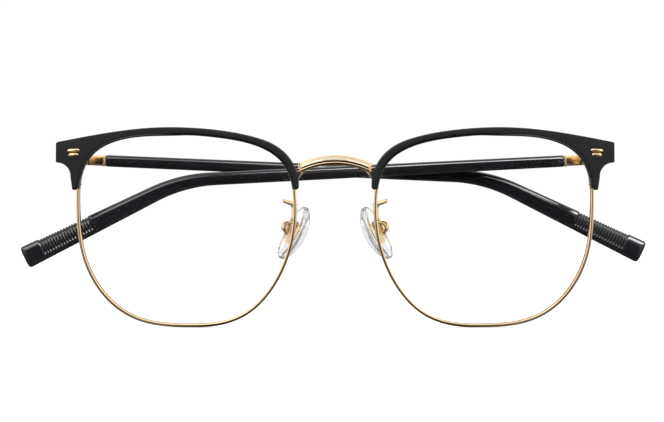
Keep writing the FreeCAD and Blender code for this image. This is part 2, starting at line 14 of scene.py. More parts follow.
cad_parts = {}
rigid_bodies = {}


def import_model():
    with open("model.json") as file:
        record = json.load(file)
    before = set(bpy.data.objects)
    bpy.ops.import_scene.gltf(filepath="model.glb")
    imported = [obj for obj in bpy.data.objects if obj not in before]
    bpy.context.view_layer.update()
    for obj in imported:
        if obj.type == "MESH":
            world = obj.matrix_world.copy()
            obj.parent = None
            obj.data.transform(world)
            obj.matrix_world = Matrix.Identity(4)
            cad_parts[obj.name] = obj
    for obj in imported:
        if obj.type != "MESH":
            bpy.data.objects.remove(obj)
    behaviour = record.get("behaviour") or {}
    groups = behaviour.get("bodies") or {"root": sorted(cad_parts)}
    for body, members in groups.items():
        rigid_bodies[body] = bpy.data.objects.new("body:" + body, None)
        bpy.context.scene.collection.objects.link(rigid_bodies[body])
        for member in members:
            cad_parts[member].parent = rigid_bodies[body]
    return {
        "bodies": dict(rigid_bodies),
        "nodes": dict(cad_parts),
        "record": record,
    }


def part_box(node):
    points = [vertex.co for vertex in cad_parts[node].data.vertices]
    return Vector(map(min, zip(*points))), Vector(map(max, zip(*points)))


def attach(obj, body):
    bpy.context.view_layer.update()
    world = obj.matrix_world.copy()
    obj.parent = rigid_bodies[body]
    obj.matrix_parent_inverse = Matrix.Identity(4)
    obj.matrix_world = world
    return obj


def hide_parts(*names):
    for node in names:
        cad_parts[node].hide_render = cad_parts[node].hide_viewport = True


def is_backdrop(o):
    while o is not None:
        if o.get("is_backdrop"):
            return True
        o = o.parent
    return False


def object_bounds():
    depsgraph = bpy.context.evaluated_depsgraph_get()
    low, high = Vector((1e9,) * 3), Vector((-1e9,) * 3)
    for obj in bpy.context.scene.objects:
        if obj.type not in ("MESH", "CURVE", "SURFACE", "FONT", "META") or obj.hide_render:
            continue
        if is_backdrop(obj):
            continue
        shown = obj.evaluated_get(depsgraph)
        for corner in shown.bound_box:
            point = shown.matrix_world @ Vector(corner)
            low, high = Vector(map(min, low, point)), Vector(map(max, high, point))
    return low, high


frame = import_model()

# Lengths are in millimetres and angles in degrees, unless a docstring says otherwise
MM = 0.001
QUARTER_TURN = math.pi / 2.0
FRONT_BODY = "front"
WELD_DISTANCE = 0.0002
BEVEL_SEGMENTS = 2
BEVEL_ANGLE = 40.0
REGION_ANGLE = 25.0
WALL_LEAN = 0.35
INSET_SPREAD = 0.35
EDGE_STEPS = 4
CORNER_STEPS = 5
FILL_TOLERANCE = 1e-5
WIRE_SIDES = 16
MARKED_SHARE = 0.75
LOG = logging.getLogger("browline_glasses")

Pair = tuple[float, float]
Triple = tuple[float, float, float]
Sockets = dict[str | int, Any]
Depth = Callable[[np.ndarray], np.ndarray]


class Side(Enum):
    """The wearer's left and right half of the glasses."""

    LEFT = "left"
    RIGHT = "right"

    def node(self, piece: str) -> str:
        """The name of this side's node of a piece."""
        return f"{self.value}_{piece}"

    @property
    def mirror(self) -> np.ndarray:
        """Factors that turn points of the left half into points of this half."""
        return np.array((1.0 if self is Side.LEFT else -1.0, 1.0, 1.0))


class Facing(Enum):
    """The way a face of a front piece looks."""

    FRONT = (0.0, -1.0, 0.0)
    BACK = (0.0, 1.0, 0.0)


def fill_sockets(tree: bpy.types.NodeTree, node: bpy.types.Node, sockets: Sockets) -> None:
    """Sets or links the inputs of a node.

    Args:
        tree: The tree that the node is in.
        node: The node.
        sockets: Values and sockets for its inputs, by name or place.
    """
    for name, value in sockets.items():
        if isinstance(value, bpy.types.NodeSocket):
            tree.links.new(value, node.inputs[name])
        else:
            node.inputs[name].default_value = value


def add_node(
    tree: bpy.types.NodeTree, kind: str, sockets: Sockets, output: str | int = 0, **settings: Any
) -> bpy.types.NodeSocket:
    """Adds a node to a tree.

    Args:
        tree: The tree.
        kind: The node's type.
        sockets: Values and sockets for its inputs, by name or place.
        output: The output that is wanted, by name or place.
        settings: Values for the node's properties.

    Returns:
        The socket of the wanted output.
    """
    node = tree.nodes.new(kind)
    for name, value in settings.items():
        setattr(node, name, value)
    fill_sockets(tree, node, sockets)
    return node.outputs[output]


@dataclass(frozen=True)
class Finish:
    """A surface finish with a fine grain and soft clouds in its colour and gloss."""

    name: str
    slot: str
    colour: Triple
    roughness: float
    metallic: float = 0.0
    specular: float = 0.5
    mirror_tint: Triple = (1.0, 1.0, 1.0)
    coat: float = 0.0
    coat_roughness: float = 0.05
    glow: float = 0.0
    transmission: float = 0.0
    ior: float = 1.5
    grain_size: float = 0.2
    grain_height: float = 0.004
    grain_strength: float = 0.15
    grain_detail: float = 2.0
    cloud_size: float = 6.0
    cloud_detail: float = 3.0
    colour_swing: float = 0.06
    roughness_swing: float = 0.2

    def material(self) -> bpy.types.Material:
        """Builds the finish as a node material, or finds it if it exists.

        Returns:
            The material of this finish.
        """
        found = bpy.data.materials.get(self.name)
        if found is not None:
            return found
        material = bpy.data.materials.new(self.name)
        material.use_nodes = True
        tree = material.node_tree
        place = add_node(tree, "ShaderNodeTexCoord", {}, "Object")
        cloud = self._noise(tree, place, self.cloud_size, self.cloud_detail)
        grain = self._noise(tree, place, self.grain_size, self.grain_detail)
        tone = {
            "A": self._tinted(1.0 - self.colour_swing),
            "B": self._tinted(1.0 + self.colour_swing),
            "Factor": cloud,
        }
        gloss = {
            "To Min": self.roughness * (1.0 - self.roughness_swing),
            "To Max": self.roughness * (1.0 + self.roughness_swing),
            "Value": cloud,
        }
        bump = {"Strength": self.grain_strength, "Distance": self.grain_height * MM, "Height": grain}
        looks = {
            "Base Color": add_node(tree, "ShaderNodeMix", tone, "Result", data_type="RGBA"),
            "Roughness": add_node(tree, "ShaderNodeMapRange", gloss, "Result"),
            "Normal": add_node(tree, "ShaderNodeBump", bump, "Normal"),
            "Metallic": self.metallic,
            "Specular IOR Level": self.specular,
            "Specular Tint": (*self.mirror_tint, 1.0),
            "Coat Weight": self.coat,
            "Coat Roughness": self.coat_roughness,
            "Transmission Weight": self.transmission,
            "IOR": self.ior,
            "Emission Color": (1.0, 1.0, 1.0, 1.0),
            "Emission Strength": self.glow,
        }
        fill_sockets(tree, tree.nodes["Principled BSDF"], looks)
        return material

    def _tinted(self, factor: float) -> tuple[float, ...]:
        """The finish's opaque colour, lighter or darker by a factor."""
        return (*(min(1.0, part * factor) for part in self.colour), 1.0)

    @staticmethod
    def _noise(
        tree: bpy.types.NodeTree, place: bpy.types.NodeSocket, size: float, detail: float
    ) -> bpy.types.NodeSocket:
        """Adds a noise with grains of a size and its levels of detail, from 0 to 1."""
        sockets = {"Vector": place, "Scale": 1.0 / (size * MM), "Detail": detail}
        return add_node(tree, "ShaderNodeTexNoise", sockets, "Fac")


GOLD = Finish("pale_gold_plating", "gold_metal", (0.92, 0.69, 0.41), 0.13, metallic=1.0, grain_size=0.15)
# Rough, bumpy peened gold for the bridge's top band, with a colour darker than the plain gold that paints
# shade
PEENED_GOLD_PAINTED_SHADE = Finish(
    "peened_gold_plating", "gold_metal", (0.74, 0.58, 0.40), 0.42, metallic=1.0,
    grain_size=0.22, grain_height=0.05, grain_strength=0.8, colour_swing=0.12,
)
# Paler, creamier gold for the bridge's bead and brace, a lighter copy of the plating that paints a
# highlight
BEAD_GOLD_PAINTED_HIGHLIGHT = Finish(
    "bright_gold_bead", "gold_metal", (1.0, 0.86, 0.66), 0.3, metallic=1.0, colour_swing=0.03,
)
SCREW_GOLD = Finish("gold_screw", "screw_metal", (0.82, 0.61, 0.35), 0.22, metallic=1.0)
MATT_BLACK = Finish(
    "matt_black_lacquer", "black_matt", (0.010, 0.010, 0.0105), 0.6, specular=0.28,
    grain_size=0.12, grain_height=0.01, grain_strength=0.25, colour_swing=0.15,
)
LACQUER_BLACK = Finish(
    "gloss_black_lacquer", "gold_metal", (0.006, 0.006, 0.007), 0.08, specular=0.9, coat=1.0,
    colour_swing=0.1,
)
GLOSS_BLACK = Finish(
    "polished_black_plastic", "black_gloss", (0.005, 0.005, 0.006), 0.05, specular=0.4,
    grain_size=2.0, grain_height=0.002, grain_strength=0.05, colour_swing=0.1,
)
CORE_STEEL = Finish("drawn_steel", "core_steel", (0.6, 0.6, 0.6), 0.3, metallic=1.0)
CLEAR_LENS = Finish(
    "clear_coated_lens", "clear_lens", (0.99, 0.995, 1.0), 0.01, transmission=1.0, ior=1.12,
    mirror_tint=(0.04, 0.05, 0.07), grain_strength=0.0, colour_swing=0.005,
)
CLEAR_PAD = Finish(
    "clear_soft_plastic", "clear_soft", (0.8, 0.825, 0.85), 0.16, transmission=1.0, ior=1.4,
    grain_size=1.5, grain_height=0.003, colour_swing=0.03,
)
WHITE_PAPER = Finish(
    "white_paper", "", (0.93, 0.93, 0.93), 0.9, specular=0.1, glow=0.2, colour_swing=0.005,
)


def shown(node: str) -> str:
    """The name of the piece that is shown for a node."""
    return node + "_shown"


def linked(name: str, mesh: bpy.types.Mesh) -> bpy.types.Object:
    """Puts a mesh into the scene as an object at the origin.

    Args:
        name: The object's name.
        mesh: Its mesh.

    Returns:
        The object.
    """
    piece = bpy.data.objects.new(name, mesh)
    bpy.context.scene.collection.objects.link(piece)
    return piece


def finished(node: str, mesh: bpy.types.Mesh, finish: Finish, body: str) -> bpy.types.Object:
    """Makes the piece that is shown for a node and hands it to the frame.

    Args:
        node: The node that the piece stands for.
        mesh: Its mesh, in the object's frame.
        finish: Its finish; a mesh with materials of its own keeps them.
        body: The body that it moves with.

    Returns:
        The piece's object.
    """
    if not mesh.materials:
        mesh.materials.append(finish.material())
    piece = linked(shown(node), mesh)
    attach(piece, body)
    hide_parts(node)
    LOG.info("%s: %d faces on %s", piece.name, len(mesh.polygons), body)
    return piece


def smoothed(mesh: bpy.types.Mesh, limit: float = 35.0) -> bpy.types.Mesh:
    """Shades a mesh smooth.

    Args:
        mesh: The mesh.
        limit: The angle past which an edge stays sharp.

    Returns:
        The same mesh.
    """
    mesh.shade_smooth()
    mesh.set_sharp_from_angle(angle=math.radians(limit))
    return mesh


def merged(node: str) -> bmesh.types.BMesh:
    """Copies a node's mesh and joins its loose triangles.

    Args:
        node: The node to copy.

    Returns:
        The copy as a bmesh.
    """
    shape = bmesh.new()
    shape.from_mesh(frame["nodes"][node].data)
    bmesh.ops.remove_doubles(shape, verts=shape.verts, dist=WELD_DISTANCE * MM)
    return shape


def written(shape: bmesh.types.BMesh, mesh: bpy.types.Mesh) -> bpy.types.Mesh:
    """Writes a bmesh into a mesh with its faces outwards, and frees it.

    Args:
        shape: The bmesh, of closed shells.
        mesh: The mesh to write into.

    Returns:
        The same mesh.
    """
    bmesh.ops.recalc_face_normals(shape, faces=shape.faces)
    shape.to_mesh(mesh)
    shape.free()
    return mesh


def to_mesh(name: str, shape: bmesh.types.BMesh) -> bpy.types.Mesh:
    """Turns a bmesh into a new mesh."""
    return written(shape, bpy.data.meshes.new(name))


def outwards(mesh: bpy.types.Mesh) -> bpy.types.Mesh:
    """Points the faces of a closed mesh outwards.

    Args:
        mesh: The mesh.

    Returns:
        The same mesh.
    """
    shape = bmesh.new()
    shape.from_mesh(mesh)
    return written(shape, mesh)


def joined(name: str, *meshes: bpy.types.Mesh) -> bpy.types.Mesh:
    """Joins meshes; the result has their material numbers but no materials yet.

    Args:
        name: The result's name.
        meshes: The closed meshes to join.

    Returns:
        The new mesh.
    """
    shape = bmesh.new()
    for mesh in meshes:
        shape.from_mesh(mesh)
    return to_mesh(name, shape)


def baked(piece: bpy.types.Object) -> bpy.types.Mesh:
    """Applies an object's modifiers and removes the object.

    Args:
        piece: An object with live modifiers, at the origin.

    Returns:
        The plain mesh that the modifiers make.
    """
    depsgraph = bpy.context.evaluated_depsgraph_get()
    mesh = bpy.data.meshes.new_from_object(piece.evaluated_get(depsgraph), depsgraph=depsgraph)
    mesh.name = piece.name
    bpy.data.objects.remove(piece)
    return mesh


def rounded(mesh: bpy.types.Mesh, rounding: float) -> bpy.types.Mesh:
    """Rounds the sharp edges of a mesh.

    Args:
        mesh: The mesh.
        rounding: The width of the rounded edges.

    Returns:
        A new mesh with round edges.
    """
    piece = linked(mesh.name, mesh)
    bevel = piece.modifiers.new("rounding", "BEVEL")
    bevel.width = rounding * MM
    bevel.segments = BEVEL_SEGMENTS
    bevel.limit_method = "ANGLE"
    bevel.angle_limit = math.radians(BEVEL_ANGLE)
    return baked(piece)


def polished(node: str, rounding: float) -> bpy.types.Mesh:
    """A copy of a node's mesh with rounded edges of a width."""
    return smoothed(rounded(to_mesh(node + "_polished", merged(node)), rounding))


def walled(shape: bmesh.types.BMesh, rings: np.ndarray) -> list[list[bmesh.types.BMVert]]:
    """Adds rings of points to a bmesh, with faces between each ring and the next.

    Args:
        shape: The bmesh.
        rings: An array of rings, points and coordinates, in metres.

    Returns:
        The rings' new points.
    """
    verts = [[shape.verts.new(point) for point in ring] for ring in rings]
    for low, high in zip(verts, verts[1:]):
        for column, corner in enumerate(low):
            after = (column + 1) % len(low)
            shape.faces.new((corner, low[after], high[after], high[column]))
    return verts


def skinned(name: str, rings: np.ndarray) -> bpy.types.Mesh:
    """Skins a row of rings and closes its two ends.

    Args:
        name: The mesh's name.
        rings: An array of rings, points and coordinates, in metres.

    Returns:
        The closed mesh, with its points in the rings' order.
    """
    shape = bmesh.new()
    verts = walled(shape, rings)
    shape.faces.new(verts[0])
    shape.faces.new(verts[-1])
    return to_mesh(name, shape)


def marked(mesh: bpy.types.Mesh, **marks: np.ndarray) -> bpy.types.Mesh:
    """Stores numbers or vectors on the points of a mesh.

    Args:
        mesh: The mesh.
        marks: A row of numbers or vectors, one for each point, by name.

    Returns:
        The same mesh.
    """
    for key, values in marks.items():
        table = np.asarray(values, dtype=np.float32)
        vector = table.ndim == 2
        layer = mesh.attributes.new(key, "FLOAT_VECTOR" if vector else "FLOAT", "POINT")
        layer.data.foreach_set("vector" if vector else "value", table.ravel())
    return mesh


def chain(name: str, points: np.ndarray, closed: bool = False) -> bpy.types.Mesh:
    """Joins a row of points by edges.

    Args:
        name: The mesh's name.
        points: The points, in metres.
        closed: Whether the last point is joined to the first.

    Returns:
        The mesh of points and edges.
    """
    count = len(points)
    edges = [(index, index + 1) for index in range(count - 1)]
    if closed:
        edges.append((count - 1, 0))
    mesh = bpy.data.meshes.new(name)
    mesh.from_pydata([tuple(point) for point in points], edges, [])
    return mesh


@dataclass(frozen=True)
class MetalPiece:
    """A small metal piece with rounded edges; it moves with a body of its side, or else the front."""

    piece: str
    rounding: float
    finish: Finish = GOLD
    side_body: str = ""

    def build(self, side: Side) -> None:
        """Dresses the piece of one side.

        Args:
            side: The half of the glasses that it belongs to.
        """
        node = side.node(self.piece)
        body = side.node(self.side_body) if self.side_body else FRONT_BODY
        finished(node, polished(node, self.rounding), self.finish, body)


class Recipe:
    """A geometry node tree with named inputs, built step by step."""

    def __init__(self, name: str) -> None:
        """Starts an empty tree that takes and gives a geometry.

        Args:
            name: The tree's name.
        """
        self.tree = bpy.data.node_groups.new(name, "GeometryNodeTree")
        for way in ("INPUT", "OUTPUT"):
            self.tree.interface.new_socket("Geometry", in_out=way, socket_type="NodeSocketGeometry")
        self.entry = self.tree.nodes.new("NodeGroupInput")

    @property
    def start(self) -> bpy.types.NodeSocket:
        """The geometry that the tree is given."""
        return self.entry.outputs["Geometry"]

    def wanted(self, name: str, kind: str = "Float") -> bpy.types.NodeSocket:
        """Adds a named input of a kind and gives its socket."""
        self.tree.interface.new_socket(name, in_out="INPUT", socket_type="NodeSocket" + kind)
        return self.entry.outputs[name]

    def step(self, kind: str, sockets: Sockets, **settings: Any) -> bpy.types.NodeSocket:
        """Adds a node and gives its first output."""
        return add_node(self.tree, kind, sockets, **settings)

    def mark(self, name: str, kind: str = "FLOAT") -> bpy.types.NodeSocket:
        """Reads what is stored on the points under a name."""
        return self.step("GeometryNodeInputNamedAttribute", {"Name": name}, data_type=kind)

    def sum(self, operation: str, first: Any, second: Any = 0.0) -> bpy.types.NodeSocket:
        """Adds one operation on two numbers."""
        return self.step("ShaderNodeMath", {0: first, 1: second}, operation=operation)

    def shape_of(self, thing: bpy.types.NodeSocket) -> bpy.types.NodeSocket:
        """The geometry of an object that an input names."""
        return add_node(self.tree, "GeometryNodeObjectInfo", {"Object": thing}, "Geometry")

    def points(self) -> bpy.types.NodeSocket:
        """The points of the geometry that the tree is given."""
        return self.step("GeometryNodeMeshToPoints", {"Mesh": self.start})

    def path(self) -> bpy.types.NodeSocket:
        """The given points as one curve, in their order."""
        index = self.step("GeometryNodeInputIndex", {})
        return self.step("GeometryNodePointsToCurves", {"Points": self.points(), "Weight": index})

    def carried(self, path: bpy.types.NodeSocket, profile: bpy.types.NodeSocket) -> bpy.types.NodeSocket:
        """A profile carried along a path, with closed ends."""
        sockets = {"Curve": path, "Profile Curve": profile, "Fill Caps": True}
        return self.step("GeometryNodeCurveToMesh", sockets)

    def close(
        self, made: bpy.types.NodeSocket, *seconds: tuple[bpy.types.NodeSocket, bpy.types.NodeSocket]
    ) -> "Recipe":
        """Makes instances real, sets the finishes and ends the tree.

        Args:
            made: The finished geometry.
            seconds: More materials than the finish, each with the faces that it goes on.

        Returns:
            The recipe itself.
        """
        real = self.step("GeometryNodeRealizeInstances", {"Geometry": made})
        for finish, faces in ((self.wanted("Finish", "Material"), True), *seconds):
            sockets = {"Geometry": real, "Selection": faces, "Material": finish}
            real = self.step("GeometryNodeSetMaterial", sockets)
        leave = self.tree.nodes.new("NodeGroupOutput")
        self.tree.links.new(real, leave.inputs["Geometry"])
        return self

    def grow(self, name: str, mesh: bpy.types.Mesh, values: dict[str, Any]) -> bpy.types.Mesh:
        """Runs the tree on a mesh.

        Args:
            name: The result's name.
            mesh: The geometry that the tree starts from.
            values: The values of its named inputs.

        Returns:
            The result as a plain mesh, with its faces outwards.
        """
        piece = linked(name, mesh)
        modifier = piece.modifiers.new(self.tree.name, "NODES")
        modifier.node_group = self.tree
        for item in self.tree.interface.items_tree:
            if item.in_out == "INPUT" and item.name in values:
                modifier[item.identifier] = values[item.name]
        return outwards(baked(piece))


def section_recipe() -> Recipe:
    """A section carried along a path, with a second finish where the points are marked.

    Returns:
        The recipe.
    """
    recipe = Recipe("section_along_path")
    section = recipe.wanted("Section", "Object")
    second = recipe.wanted("Marked finish", "Material")
    normal = recipe.mark("outward", "FLOAT_VECTOR")
    turned = {"Curve": recipe.path(), "Normal": normal}
    path = recipe.step("GeometryNodeSetCurveNormal", turned, mode="FREE")
    profile = recipe.step("GeometryNodeMeshToCurve", {"Mesh": recipe.shape_of(section)})
    chosen = recipe.sum("GREATER_THAN", recipe.mark("second"), MARKED_SHARE)
    return recipe.close(recipe.carried(path, profile), (second, chosen))


def wire_recipe() -> Recipe:
    """A round wire along a path.

    Returns:
        The recipe.
    """
    recipe = Recipe("round_wire")
    ring = {"Resolution": WIRE_SIDES, "Radius": recipe.wanted("Radius")}
    circle = recipe.step("GeometryNodeCurvePrimitiveCircle", ring)
    return recipe.close(recipe.carried(recipe.path(), circle))


def rib_recipe() -> Recipe:
    """Cross grooves cut into a smooth arm, by the distance stored along it.

    Returns:
        The recipe.
    """
    recipe = Recipe("grip_ribs")
    names = ("First", "Pitch", "Ribs", "Recess", "Depth")
    first, pitch, ribs, recess, depth = (recipe.wanted(name) for name in names)
    turn = recipe.sum("DIVIDE", recipe.sum("SUBTRACT", recipe.mark("along"), first), pitch)
    after_first = recipe.sum("GREATER_THAN", turn, 0.0)
    before_last = recipe.sum("LESS_THAN", turn, ribs)
    inside = recipe.sum("MULTIPLY", recipe.sum("MULTIPLY", after_first, before_last), recipe.mark("mask"))
    swing = recipe.sum("COSINE", recipe.sum("MULTIPLY", turn, 2.0 * math.pi))
    wave = recipe.sum("SUBTRACT", 0.5, recipe.sum("MULTIPLY", swing, 0.5))
    cut = recipe.sum("ADD", recess, recipe.sum("MULTIPLY", wave, depth))
    length = recipe.sum("MULTIPLY", recipe.sum("MULTIPLY", cut, inside), -1.0)
    normal = recipe.step("GeometryNodeInputNormal", {})
    offset = recipe.step("ShaderNodeVectorMath", {0: normal, "Scale": length}, operation="SCALE")
    moved = recipe.step("GeometryNodeSetPosition", {"Geometry": recipe.start, "Offset": offset})
    return recipe.close(moved)


def bar_recipe() -> Recipe:
    """A small bar at each point, turned and sized by what is stored there.

    Returns:
        The recipe.
    """
    recipe = Recipe("rivet_bars")
    bar = recipe.wanted("Bar", "Object")
    sockets = {
        "Points": recipe.points(),
        "Instance": recipe.shape_of(bar),
        "Rotation": recipe.mark("turn", "FLOAT_VECTOR"),
        "Scale": recipe.mark("size", "FLOAT_VECTOR"),
    }
    return recipe.close(recipe.step("GeometryNodeInstanceOnPoints", sockets))


@dataclass
class Workshop:
    """The recipes that several sub-assemblies share."""

    section: Recipe = field(default_factory=section_recipe)
    wire: Recipe = field(default_factory=wire_recipe)
    ribs: Recipe = field(default_factory=rib_recipe)
    bars: Recipe = field(default_factory=bar_recipe)


@dataclass
class FaceRegion:
    """One smooth face of a front piece, with its outline seen along the depth axis.

    The outline and its depth are kept in a flat frame: across, up and depth, in metres.
    """

    node: str
    facing: Facing
    island: int = 0
    axes: np.ndarray = field(init=False)
    outline: np.ndarray = field(init=False)
    centre: np.ndarray = field(init=False)
    radius: float = field(init=False)

    def __post_init__(self) -> None:
        """Finds the face, its depth axis, its outline and the sphere it lies on."""
        shape = merged(self.node)
        regions = self._regions(shape)
        want = Vector(self.facing.value)
        regions.sort(key=lambda faces: -sum(f.calc_area() * f.normal.dot(want) for f in faces))
        region = regions[self.island]
        walls = [f.normal * f.calc_area() for f in shape.faces if abs(f.normal.dot(want)) < WALL_LEAN]
        self.axes = self._axes(np.array([tuple(wall) for wall in walls]))
        points = np.array([tuple(v.co) for v in {v for f in region for v in f.verts}]) @ self.axes.T
        self.centre, self.radius = self._sphere(points)
        around = max(self._loops(region), key=len)
        flat = np.array([tuple(v.co) for v in around]) @ self.axes.T
        self.outline = flat[:, :2] if self._area(flat) > 0 else flat[::-1, :2]
        shape.free()

    @property
    def middle(self) -> np.ndarray:
        """The middle of the outline's flat box."""
        return (self.outline.min(axis=0) + self.outline.max(axis=0)) / 2.0

    def depth(self, places: np.ndarray) -> np.ndarray:
        """The depth of the face's sphere at flat places."""
        away = places - self.centre[:2]
        return self.centre[2] - np.sqrt(self.radius**2 - (away**2).sum(axis=1))

    def solid(self, places: np.ndarray, depths: np.ndarray) -> np.ndarray:
        """Flat places and depths as points of the object's frame."""
        return np.column_stack((places, depths)) @ self.axes

    @staticmethod
    def _area(flat: np.ndarray) -> float:
        """Twice the signed area of a flat loop."""
        after = np.roll(flat, -1, axis=0)
        return float((flat[:, 0] * after[:, 1] - after[:, 0] * flat[:, 1]).sum())

    @staticmethod
    def _regions(shape: bmesh.types.BMesh) -> list[list[bmesh.types.BMFace]]:
        """Groups faces that meet at flat angles.

        Args:
            shape: The bmesh.

        Returns:
            The groups of faces.
        """
        limit = math.radians(REGION_ANGLE)
        seen: set[int] = set()
        regions = []
        for first in shape.faces:
            if first.index in seen:
                continue
            seen.add(first.index)
            group, waiting = [], [first]
            while waiting:
                face = waiting.pop()
                group.append(face)
                for edge in face.edges:
                    for other in edge.link_faces:
                        if other.index not in seen and edge.calc_face_angle(math.pi) < limit:
                            seen.add(other.index)
                            waiting.append(other)
            regions.append(group)
        return regions

    @staticmethod
    def _axes(walls: np.ndarray) -> np.ndarray:
        """Finds the axes of a piece's flat frame.

        Args:
            walls: The normals of the walls round the face, as long as their areas.

        Returns:
            The across, up and depth axes.
        """
        depth = np.linalg.svd(walls)[2][2]
        depth = depth * np.sign(depth[1])
        across = np.array((1.0, 0.0, 0.0)) - depth * depth[0]
        across = across / np.linalg.norm(across)
        return np.array((across, np.cross(across, depth), depth))

    @staticmethod
    def _sphere(points: np.ndarray) -> tuple[np.ndarray, float]:
        """Fits a sphere to points.

        Args:
            points: The points.

        Returns:
            The sphere's centre and radius.
        """
        table = np.column_stack((2.0 * points, np.ones(len(points))))
        answer = np.linalg.lstsq(table, (points**2).sum(axis=1), rcond=None)[0]
        return answer[:3], float(math.sqrt(answer[3] + (answer[:3] ** 2).sum()))

    @staticmethod
    def _loops(region: list[bmesh.types.BMFace]) -> list[list[bmesh.types.BMVert]]:
        """Chains the edges round a region.

        Args:
            region: The region's faces.

        Returns:
            The closed loops of points.
        """
        inside = set(region)
        ahead: dict[bmesh.types.BMVert, bmesh.types.BMVert] = {}
        for face in region:
            for loop in face.loops:
                if not any(other in inside for other in loop.edge.link_faces if other is not face):
                    ahead[loop.vert] = loop.link_loop_next.vert
        loops = []
        while ahead:
            start, vert = ahead.popitem()
            around = [start]
            while vert is not start:
                around.append(vert)
                vert = ahead.pop(vert)
            loops.append(around)
        return loops


def inset(outline: np.ndarray, distance: float | np.ndarray) -> np.ndarray:
    """Moves the points of a flat loop inwards.

    Args:
        outline: A loop that runs counter-clockwise.
        distance: How far its points move, for all or for each, in the loop's unit.

    Returns:
        The moved loop.
    """
    ahead = np.roll(outline, -1, axis=0) - outline
    ahead = ahead / np.linalg.norm(ahead, axis=1)[:, None]
    inward = np.column_stack((-ahead[:, 1], ahead[:, 0]))
    before = np.roll(inward, 1, axis=0)
    spread = 1.0 + (inward * before).sum(axis=1)
    reach = np.broadcast_to(distance, len(outline)) / np.maximum(spread, INSET_SPREAD)
    return outline + (inward + before) * reach[:, None]


def slab(
    name: str, region: FaceRegion, front: tuple[Depth, float], back: tuple[Depth, float]
) -> bpy.types.Mesh:
    """Makes a plate with a region's outline and rounded edges.

    Args:
        name: The mesh's name.
        region: The face whose outline it takes.
        front: The depth of its front at flat places, and the radius of the edge there.
        back: The same for its back.

    Returns:
        The plate's mesh.
    """
    rings = []
    for (depth, edge), towards, order in (
        (back, -1.0, range(EDGE_STEPS, -1, -1)),
        (front, 1.0, range(EDGE_STEPS + 1)),
    ):
        radius = edge * MM
        for step in order:
            turn = QUARTER_TURN * step / EDGE_STEPS
            flat = inset(region.outline, radius * (1.0 - math.cos(turn)))
            rings.append((flat, depth(flat) + towards * radius * (1.0 - math.sin(turn))))
    shape = bmesh.new()
    verts = walled(shape, [region.solid(*ring) for ring in rings])
    count = len(region.outline)
    for end in (0, -1):
        places = [Vector(place) / MM for place in rings[end][0]]
        filled = delaunay_2d_cdt(places, [], [list(range(count))], 1, FILL_TOLERANCE)
        for corners in filled[2]:
            if max(corners) < count:
                shape.faces.new([verts[end][corner] for corner in corners])
    return to_mesh(name, shape)


@dataclass(frozen=True)
class Lamp:
    """A soft lamp that looks at the object, with its power in watts."""

    name: str
    place: Triple
    size: Pair
    power: float
    for_arms_only: bool = False

    def build(self) -> bpy.types.Object:
        """Puts the lamp into the scene.

        Returns:
            The lamp's object.
        """
        data = bpy.data.lights.new(self.name, "AREA")
        data.shape = "RECTANGLE"
        data.size = self.size[0] * MM
        data.size_y = self.size[1] * MM
        data.energy = self.power
        lamp = bpy.data.objects.new(self.name, data)
        lamp.location = Vector(self.place) * MM
        lamp.rotation_euler = (-lamp.location).to_track_quat("-Z", "Y").to_euler()
        bpy.context.scene.collection.objects.link(lamp)
        return lamp


